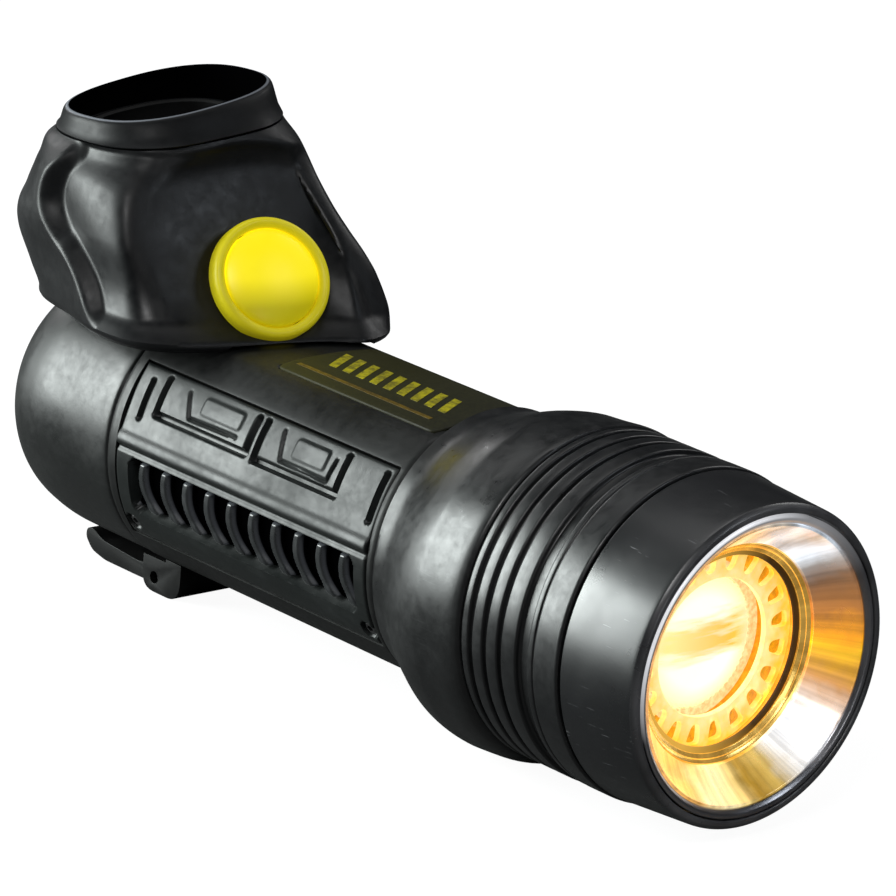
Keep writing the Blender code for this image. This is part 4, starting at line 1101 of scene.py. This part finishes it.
def label_line():
    return solid("label_line", *mark(-132.0, -90.0, -9.7, -8.6), 30.0)


# ---------------- switch hood

def mouth_rise(z, x, y):
    """Tilt of the mouth: up towards the lamp's left and front."""
    tilt = MOUTH_SIDE_RISE * (y - MOUTH_CENTRE[1]) + MOUTH_FRONT_RISE * (x - MOUTH_CENTRE[0])
    return ramp(z, MOUTH_RISE_FROM, MOUTH_Z) * tilt / MOUTH_REACH


def swell(z, degrees):
    """How far the outline stands out beyond its oval at each angle."""
    rear, front = fit(SWELLS, z)
    behind = np.clip(1.0 - np.abs(degrees - REAR_SWELL_DEG) / REAR_SWELL_REACH, 0.0, 1.0)
    ahead = np.clip(1.0 - np.abs(degrees - FRONT_SWELL_DEG) / FRONT_SWELL_REACH, 0.0, 1.0)
    return rear * eased(behind) + front * eased(ahead)


DISH_HEIGHTS = np.linspace(HOOD_FOOT_Z, 70.0, 181)
DISH_DEPTHS = [fit(DISH, height)[0] for height in DISH_HEIGHTS]


def dish_in(z, turn, u, v, half_v):
    """Hollow the outline in between the two lips and let it swell beyond them."""
    near_lip, far_lip = fit(LIPS, z)
    degrees = np.degrees(turn)
    near = np.clip((degrees - near_lip) / NEAR_LIP_DEG, 0.0, 1.0)
    far = np.clip((far_lip - degrees) / FAR_LIP_DEG, 0.0, 1.0)
    arch = np.where(v < 0.0, NEAR_ARCH, DISH_ARCH) * ramp(z, 44.0, 60.0)
    depth = np.interp(z + arch * (v / half_v) ** 2, DISH_HEIGHTS, DISH_DEPTHS)
    depth = depth * eased(near) * eased(far) - swell(z, degrees)
    along_u, along_v = np.gradient(u), np.gradient(v)
    size = np.maximum(np.hypot(along_u, along_v), 1e-9)
    return u - depth * along_v / size, v + depth * along_u / size


def oval(z, inset=0.0, limit=None, lift=0.0, dish=False):
    """Evenly spaced outline of the hood at one height, starting at the middle of its back."""
    centre_x, centre_y, degrees, half_u, half_v, front = fit(TOWER_ROWS, z)
    stop = front - inset if limit is None else limit
    turn = np.linspace(-math.pi, math.pi, 1921)
    c, s = np.cos(turn), np.sin(turn)
    u = (half_u - inset) * np.sign(c) * np.abs(c) ** (2.0 / SQUARE)
    v = (half_v - inset) * np.sign(s) * np.abs(s) ** (2.0 / SQUARE)
    blend = EDGE_BLEND + (FRONT_BLEND - EDGE_BLEND if dish else 0.0) * np.clip(-turn / 0.6, 0.0, 1.0)
    near = np.clip(blend - np.abs(u - stop), 0.0, None) / blend
    u = np.minimum(u, stop) - near * near * blend / 4.0
    if dish:
        u, v = dish_in(z, turn, u, v, half_v)
    length = np.concatenate(([0.0], np.cumsum(np.hypot(np.diff(u), np.diff(v)))))
    even = np.linspace(0.0, length[-1], OVAL_POINTS, endpoint=False)
    a = math.radians(degrees)
    found = []
    for p, q in zip(np.interp(even, length, u), np.interp(even, length, v)):
        x = centre_x + p * math.cos(a) - q * math.sin(a)
        y = centre_y + p * math.sin(a) + q * math.cos(a)
        found.append((x, y, z + lift + mouth_rise(z, x, y)))
    return found


def face_rows(pairs):
    """Circles about the button line from (level, radius) pairs."""
    lean = math.radians(FACE_LEAN_DEG)
    turn = math.radians(FACE_TURN_DEG)
    forward = Vector((math.cos(turn), math.sin(turn), 0.0))
    side = Vector((-math.sin(turn), math.cos(turn), 0.0))
    normal = forward * math.cos(lean) + Vector((0.0, 0.0, 1.0)) * math.sin(lean)
    upward = forward * -math.sin(lean) + Vector((0.0, 0.0, 1.0)) * math.cos(lean)
    return [[BUTTON_CENTRE + normal * level + (side * math.cos(step) + upward * math.sin(step)) * radius
             for step in turns(128)] for level, radius in pairs]


def tube_tool(name, start, end, radius, segs):
    return solid(name, *skin([circle(start, radius, segs), circle(end, radius, segs)]))


def tower():
    """Hood with its dished face, open from below over the barrel and bored for the button."""
    heights = stops(HOOD_FOOT_Z, COLLAR_Z, 0.5, (HOOD_FOOT_Z + 0.4, COLLAR_Z - 0.4), 0.2)
    rows = [oval(z, 0.0 if z > HOOD_FOOT_Z + 0.3 else 0.25, dish=True) for z in heights]
    rows += [oval(COLLAR_Z, 5.4, 14.0), oval(56.0, 6.5, 12.5), oval(47.5, 9.0, 11.0)]
    body = solid("tower_look", *skin(rows), 45.0)
    well = face_rows(((-12.3, 7.6), (-6.0, 7.6), (-6.0, 11.0), (-2.8, 11.0), (-2.8, 13.45), (6.0, 13.45)))
    relief = tube_tool("relief", -166.0, -225.0, TAIL_R + HOOD_GAP, 192)
    floor_line = [(-40.0, -5.0), (40.0, -5.0)]
    for y in [30.0 - step for step in range(61)]:
        wall = math.sqrt(max((BARREL_R + HOOD_GAP) ** 2 - y * y, 0.0))
        z = wall if abs(y) > 15.5 else deck(y) + HOOD_GAP
        floor_line.append((y, z))
    under = [[(x, y, z) for y, z in floor_line] for x in (-166.4, -120.0)]
    return carve(body, [solid("well", *skin(well)), relief, solid("floor_tool", *skin(under))], 38.0)


def collar():
    """Upper hoop of the hood, flush with its walls, with a rounded top and an open mouth."""
    rows = [oval(COLLAR_Z, inset, lift=lift)
            for inset, lift in ((0.5, 0.3), (0.2, 0.32), (0.05, 0.42), (0.0, 0.6))]
    rows += [oval(z, inset) for z, inset in
             ((65.2, 0.0), (66.5, 0.0), (67.8, 0.0), (68.6, 0.03), (69.0, 0.14), (69.28, 0.34), (69.44, 0.62),
              (69.5, 0.95), (69.44, 1.28), (69.26, 1.55), (68.95, 1.75), (68.4, 1.85), (67.0, 2.1))]
    rows += [oval(65.5, 2.9, 17.0), oval(COLLAR_Z, 5.0, 14.4, lift=0.3)]
    return solid("collar_look", *skin(rows, loop=True), 50.0)


def liner():
    """Rubber cup inside the mouth: height, inset, flat front and lift of each outline."""
    outlines = ((47.5, 9.5, 10.5, 0.4), (52.0, 8.2, 11.2), (56.0, 7.0, 12.0), (60.0, 6.4, 12.8),
                (COLLAR_Z, 5.9, 13.5), (COLLAR_Z, 6.4, 13.0, 0.25), (COLLAR_Z, 7.2, 12.2, 0.25),
                (COLLAR_Z, 7.6, 11.8), (60.0, 8.1, 11.0), (56.0, 8.7, 10.3), (52.0, 9.9, 9.5),
                (49.6, 11.0, 8.9), (49.2, 11.6, 8.4), (49.2, 14.0, 6.0))
    return solid("liner_look", *skin([oval(*outline) for outline in outlines]), 60.0)


def button_ring():
    """Outer ring with a rounded bead."""
    outline = soften([(-2.4, BUTTON_RING_BORE), (-2.4, BUTTON_RING_R), (0.35, BUTTON_RING_R), (1.25, 12.85),
                      (1.6, 12.1), (1.3, 11.35), (0.65, BUTTON_RING_BORE)], 0.4, 5)
    return solid("button_ring_look", *skin(face_rows(outline), loop=True), 55.0)


def button():
    """Domed cap with a rolled edge, and the stem below it."""
    crown = [(0.75 + 1.85 * (1.0 - (1.0 - step / 14.0) ** 2.2) ** 0.8, CROWN_R * (1.0 - step / 14.0))
             for step in range(1, 14)]
    stem = [(-7.6, 0.05), (-7.6, 2.0), (-2.4, 2.0), (-2.4, 10.0), (-3.6, 10.0), (-3.6, BUTTON_R),
            (0.3, BUTTON_R), (0.62, BUTTON_R - 0.12), (0.85, BUTTON_R - 0.45)]
    return solid("button_look", *skin(face_rows(stem + crown + [(2.6, 0.05)])), 50.0)


# ---------------- tail and latch

def tail():
    """Screw cap: hollow inside, domed outside, with a shallow ring groove on its end face."""
    inner = [(-206.6, 0.0), (-206.6, 19.0), (-203.0, 21.6), (-177.0, 21.6), (-177.0, 25.1),
             (TAIL_FRONT, 25.1)]
    outer = soften([(TAIL_FRONT, 28.3), (TAIL_FRONT - 0.7, TAIL_R), (-194.0, 28.9), (-202.0, 27.4),
                    (-207.4, 24.0), (-210.6, 19.0), (TAIL_BACK, 13.0)], 3.2, 6, False)
    land = [(TAIL_BACK, 12.6), (TAIL_BACK, 10.2), (TAIL_BACK + 0.5, 9.9), (TAIL_BACK + 0.5, 8.9),
            (TAIL_BACK, 8.6), (TAIL_BACK, 0.0)]
    points, faces = skin([circle(x, radius) for x, radius in inner + outer + land])
    return solid("tail_look", points, faces[:-2], 45.0)


def slab(name, outline, half):
    """Closed piece between two sides of the lamp from an (x, z) outline."""
    return solid(name, *skin([[(x, y, z) for x, z in outline] for y in (-half, half)]))


def pin_circle(radius, count=32):
    return [(PIN_X + radius * math.cos(turn), PIN_Z + radius * math.sin(turn)) for turn in turns(count)]


def bracket():
    outline = soften([(-162.6, -25.0), (-162.6, -33.2), (-164.6, FOOT_Z), (-173.4, FOOT_Z), (-175.4, -33.6),
                      (-175.4, -25.0)], 2.4, 6)
    item = slab("bracket_look", outline, BRACKET_HALF)
    tools = [tube_tool("wall", -145.0, -167.9, BARREL_R + 0.3, 160),
             tube_tool("cap", -167.8, -185.0, TAIL_R + 1.2, 160),
             slab("slot", [(-185.0, -40.0), (-167.2, -40.0), (-167.2, -20.0), (-185.0, -20.0)], 9.0),
             slab("hole", pin_circle(BRACKET_BORE_R), 20.0)]
    return rounded(carve(item, tools), 0.45, 3)


def lever():
    """Paddle with a thumb curl at its free end."""
    outline = soften([(-168.6, -31.4), (-168.6, -33.4), (-171.0, -35.0), (-180.0, -35.2), (-192.0, -35.2),
                      (-196.6, -34.2), (LEVER_BACK, -31.8), (-198.8, -29.8), (-197.0, -29.2), (-193.0, -31.0),
                      (-181.0, -31.8), (-175.0, -31.2), (-172.6, -30.4), (-170.0, -30.4)], 1.2, 4)
    item = slab("lever_look", outline, LEVER_HALF)
    return rounded(carve(item, [slab("bore", pin_circle(LEVER_BORE_R), 20.0)]), 0.7, 4)


def latch_pin():
    ends = ((-PIN_HALF, 0.05), (-PIN_HALF, PIN_R - 0.2), (0.2 - PIN_HALF, PIN_R),
            (PIN_HALF - 0.2, PIN_R), (PIN_HALF, PIN_R - 0.2), (PIN_HALF, 0.05))
    rows = [[(x, y, z) for x, z in pin_circle(radius, 48)] for y, radius in ends]
    return solid("latch_pin_look", *skin(rows), 35.0)


# ---------------- putting it together

def dress(item, material, body, slot_name, *nodes):
    """Give a piece its finish and its body, and hide the CAD nodes it stands for; slot_name is not used."""
    item.data.materials.clear()
    item.data.materials.append(material)
    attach(item, body)
    if nodes:
        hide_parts(*nodes)


def dress_head():
    dress(bezel(), rim_black(), "lamp", "anodised_black", "bezel_shell")
    dress(lip_ring(), bare_rim(), "lamp", "anodised_black", "front_lip_ring")
    dress(cone(), cone_silver(), "lamp", "polished_cone", "reflector_cone")
    dress(seat_ring(), seat_gold(), "lamp", "gold_metal", "lens_seat_ring")
    dress(gasket(), gasket_brown(), "lamp", "seal_rubber", "lens_gasket")
    dress(window(), clear_window(), "lamp", "clear_window", "front_lens")
    # painted light: the plate glows with the lamp's light
    dress(ring_plate(), lit_plate(), "lamp", "gold_metal", "led_ring_plate")
    # painted light: an amber glow of the lamp's light on the module's front land
    amber = patchy_glow("amber_glow", (0.50, 0.25, 0.002), (0.72, 0.40, 0.005), 0.4)
    dress(light_engine(), amber, "lamp", "gold_metal", "led_module_body")
    # painted light: a rosy glow of the lamp's light on the lens carrier
    rosy = patchy_glow("holder_glow", (0.95, 0.45, 0.22), (1.0, 0.68, 0.44), 0.7)
    dress(lens_holder(), rosy, "lens_mount", "inner_plastic", "lens_carrier")
    dress(centre_lens(), hot_lens(), "lens_mount", "clear_window", "collimator_lens")
    dress(focus_ring(), worn_black_with_painted_shade("ring_black"), "focus", "anodised_black", "focus_ring")
    dress(bell(), worn_black_with_painted_shade("head_black"), "lamp", "anodised_black", "head_shell")


def dress_barrel():
    dress(housing(), worn_black_with_painted_shade("housing_plastic"), "lamp", "housing_black", "main_housing")
    charcoal = worn_black_with_painted_shade("panel_charcoal")
    # the louvre is painted near black deep between its fins as painted shade, with a painted highlight on the
    # fins' flanks
    fins = worn_black_with_painted_shade("louvre_black", recess_shade_mask, 0.25)
    steel = dyed("screw_steel", (0.12, 0.12, 0.125), (0.3, 0.3, 0.3), 0.35, 1.0)
    for side, word in ((-1.0, "right"), (1.0, "left")):
        plate = side_panel(side, "panel_look_" + word)
        dress(plate, charcoal, "lamp", "panel_charcoal", "side_panel_" + word)
        dress(louvre(side, "louvre_look_" + word), fins, "lamp", "panel_charcoal", "louvre_insert_" + word)
        for end, x in SCREW_XS:
            place = end + "_" + word
            screw = panel_screw("screw_look_" + place, x, side)
            dress(screw, steel, "lamp", "spring_steel", "panel_screw_" + place)
    dress(label(), olive_label(), "lamp", "label_olive", "label_plate")
    yellow_ink = label_ink("bar_ink", (0.50, 0.44, 0.01), (0.16, 0.14, 0.008))
    dress(label_bars(), yellow_ink, "lamp", "label_olive")
    amber_ink = label_ink("line_ink", (0.16, 0.10, 0.006), (0.06, 0.04, 0.005))
    dress(label_line(), amber_ink, "lamp", "label_olive")


def dress_hood():
    dress(tower(), worn_black_with_painted_shade("hood_black"), "lamp", "housing_black", "switch_tower")
    # the walls inside the mouth are painted near black as painted shade, with a painted highlight round the
    # top of the lip
    dress(collar(), worn_black_with_painted_shade("mouth_black", mouth_shade_mask, 0.6), "lamp", "housing_black", "tower_collar")
    dress(liner(), soft_rubber(), "lamp", "seal_rubber", "socket_liner")
    dress(button_ring(), ring_yellow(), "lamp", "button_ring_yellow", "button_bezel")
    dress(button(), button_yellow(), "button", "button_yellow", "switch_button")


def dress_tail():
    dress(tail(), worn_black_with_painted_shade("tail_black"), "tail", "housing_black", "tail_cap")
    dark = worn_black_with_painted_shade("latch_black")
    dress(bracket(), dark, "lamp", "housing_black", "latch_bracket")
    dress(lever(), dark, "latch", "housing_black", "latch_lever")
    steel = dyed("pin_steel", (0.3, 0.3, 0.3), (0.55, 0.55, 0.56), 0.3, 1.0)
    dress(latch_pin(), steel, "lamp", "spring_steel", "latch_pin")


# carried-over CAD nodes: words in the node's name, then two colours, roughness and metallic value
INNER_FINISHES = (("oring", (0.2, 0.02, 0.012), (0.32, 0.045, 0.03), 0.55, 0.0),
                  ("seal", (0.01, 0.01, 0.01), (0.03, 0.03, 0.03), 0.8, 0.0),
                  ("led_board", (0.6, 0.62, 0.6), (0.85, 0.86, 0.84), 0.45, 0.0),
                  ("board", (0.012, 0.1, 0.035), (0.04, 0.22, 0.08), 0.45, 0.0),
                  ("emitter", (0.9, 0.6, 0.15), (1.0, 0.8, 0.3), 0.3, 0.0),
                  ("sink", (0.35, 0.36, 0.37), (0.55, 0.56, 0.58), 0.38, 1.0),
                  ("contact", (0.6, 0.42, 0.14), (0.85, 0.64, 0.28), 0.3, 1.0),
                  ("spring", (0.5, 0.5, 0.52), (0.75, 0.75, 0.77), 0.28, 1.0),
                  ("screw", (0.3, 0.3, 0.31), (0.55, 0.55, 0.57), 0.35, 1.0),
                  ("rod", (0.45, 0.45, 0.46), (0.68, 0.68, 0.7), 0.3, 1.0),
                  ("post", (0.6, 0.45, 0.2), (0.8, 0.62, 0.32), 0.35, 1.0),
                  ("cell", (0.03, 0.09, 0.24), (0.07, 0.17, 0.4), 0.4, 0.0),
                  ("positive", (0.4, 0.015, 0.01), (0.6, 0.03, 0.02), 0.5, 0.0),
                  ("", (0.02, 0.02, 0.022), (0.05, 0.05, 0.054), 0.5, 0.0))


def dress_inside():
    """Procedural finishes for the CAD nodes that are kept as they are."""
    made = {}
    for name, item in frame["nodes"].items():
        if item.hide_render:
            continue
        word, low, high, rough, metal = [row for row in INNER_FINISHES if row[0] in name][0]
        if word not in made:
            made[word] = dyed("inner_" + (word or "plastic"), low, high, rough, metal, 300.0)
        item.data.materials.clear()
        item.data.materials.append(made[word])


# ---------------- camera, floor and light

CAMERA_AZIMUTH = 47.8
CAMERA_HEIGHT_DEG = 17.3
CAMERA_ROLL = 4.76
CAMERA_TARGET = Vector((0.0196, -0.0072, 0.0562))
CAMERA_DISTANCE = 1.190
CAMERA_LENS = 238.0
LIGHT_TARGET = Vector((0.0, 0.0, 0.05))
FLOOR_REACH = 6.0

# softboxes: direction from the lamp, distance, width and height, power and colour
SOFTBOXES = {"rear_side": ((-0.72, -0.66, 0.22), 0.95, (0.5, 0.55), 15.0, (0.93, 1.0, 0.98)),
             "top": ((-0.35, 0.1, 1.0), 0.9, (0.6, 0.25), 1.0, (1.0, 1.0, 1.0)),
             "key": ((0.62, -0.75, 0.95), 1.1, (0.3, 0.3), 3.4, (1.0, 1.0, 1.0)),
             "front_left": ((0.74, 0.33, 0.62), 1.2, (0.25, 0.3), 1.4, (0.85, 0.92, 1.0)),
             "far_left": ((-0.1, 1.0, 0.8), 1.1, (0.4, 0.4), 1.6, (1.0, 1.0, 1.0)),
             "back": ((-1.0, 0.1, 0.45), 1.1, (0.4, 0.3), 1.6, (1.0, 1.0, 1.0)),
             "beam_side": ((1.0, -0.1, 0.2), 1.2, (0.2, 0.4), 0.8, (1.0, 1.0, 1.0))}


def camera():
    data = bpy.data.cameras.new("camera")
    data.lens = CAMERA_LENS
    data.clip_start = 0.02
    data.clip_end = 20.0
    item = bpy.data.objects.new("camera", data)
    bpy.context.scene.collection.objects.link(item)
    turn, lift, lean = (math.radians(value) for value in (CAMERA_AZIMUTH, CAMERA_HEIGHT_DEG, CAMERA_ROLL))
    back = Vector((math.sin(turn) * math.cos(lift), -math.cos(turn) * math.cos(lift), math.sin(lift)))
    right = Vector((math.cos(turn), math.sin(turn), 0.0))
    up = back.cross(right)
    rolled = right * math.cos(lean) + up * math.sin(lean)
    up = up * math.cos(lean) - right * math.sin(lean)
    turned = Matrix((rolled, up, back)).transposed()
    item.matrix_world = Matrix.Translation(CAMERA_TARGET + back * CAMERA_DISTANCE) @ turned.to_4x4()
    bpy.context.scene.camera = item


def lights():
    for name, (toward, distance, size, power, color) in SOFTBOXES.items():
        data = bpy.data.lights.new(name, "AREA")
        data.shape = "RECTANGLE"
        data.size, data.size_y = size
        data.energy = power
        data.color = color
        item = bpy.data.objects.new(name, data)
        bpy.context.scene.collection.objects.link(item)
        item.location = LIGHT_TARGET + Vector(toward).normalized() * distance
        item.rotation_mode = "QUATERNION"
        item.rotation_quaternion = (item.location - LIGHT_TARGET).to_track_quat("Z", "Y")


def world():
    """White to the eye, dim grey to everything else."""
    made = bpy.data.worlds.new("studio")
    bpy.context.scene.world = made
    made.use_nodes = True
    tree = made.node_tree
    path = tree.nodes.new("ShaderNodeLightPath")
    mix = tree.nodes.new("ShaderNodeMix")
    mix.data_type = "RGBA"
    mix.inputs[6].default_value = (0.022, 0.023, 0.026, 1.0)
    mix.inputs[7].default_value = (1.0, 1.0, 1.0, 1.0)
    tree.links.new(path.outputs["Is Camera Ray"], mix.inputs[0])
    tree.links.new(mix.outputs[2], tree.nodes["Background"].inputs["Color"])


def floor():
    """Plain pale floor, bright to the eye so that it stays near white."""
    mesh = bpy.data.meshes.new("floor")
    corners = [(x * FLOOR_REACH, y * FLOOR_REACH, 0.0) for x, y in ((-1, -1), (1, -1), (1, 1), (-1, 1))]
    mesh.from_pydata(corners, [], [(0, 1, 2, 3)])
    item = bpy.data.objects.new("floor", mesh)
    bpy.context.scene.collection.objects.link(item)
    made = Finish("floor_white", Roughness=0.9, Specular_IOR_Level=0.1)
    made.tones(made.noise(9.0, 2.0), (0.12, 0.12, 0.12), (0.14, 0.14, 0.14))
    made.glow((1.0, 1.0, 1.0), made.times(made.node("ShaderNodeLightPath").outputs["Is Camera Ray"], 0.95))
    mesh.materials.append(made.made)


camera()
floor()
world()
lights()
bpy.context.scene.view_settings.view_transform = "Standard"
dress_head()
dress_barrel()
dress_hood()
dress_tail()
dress_inside()
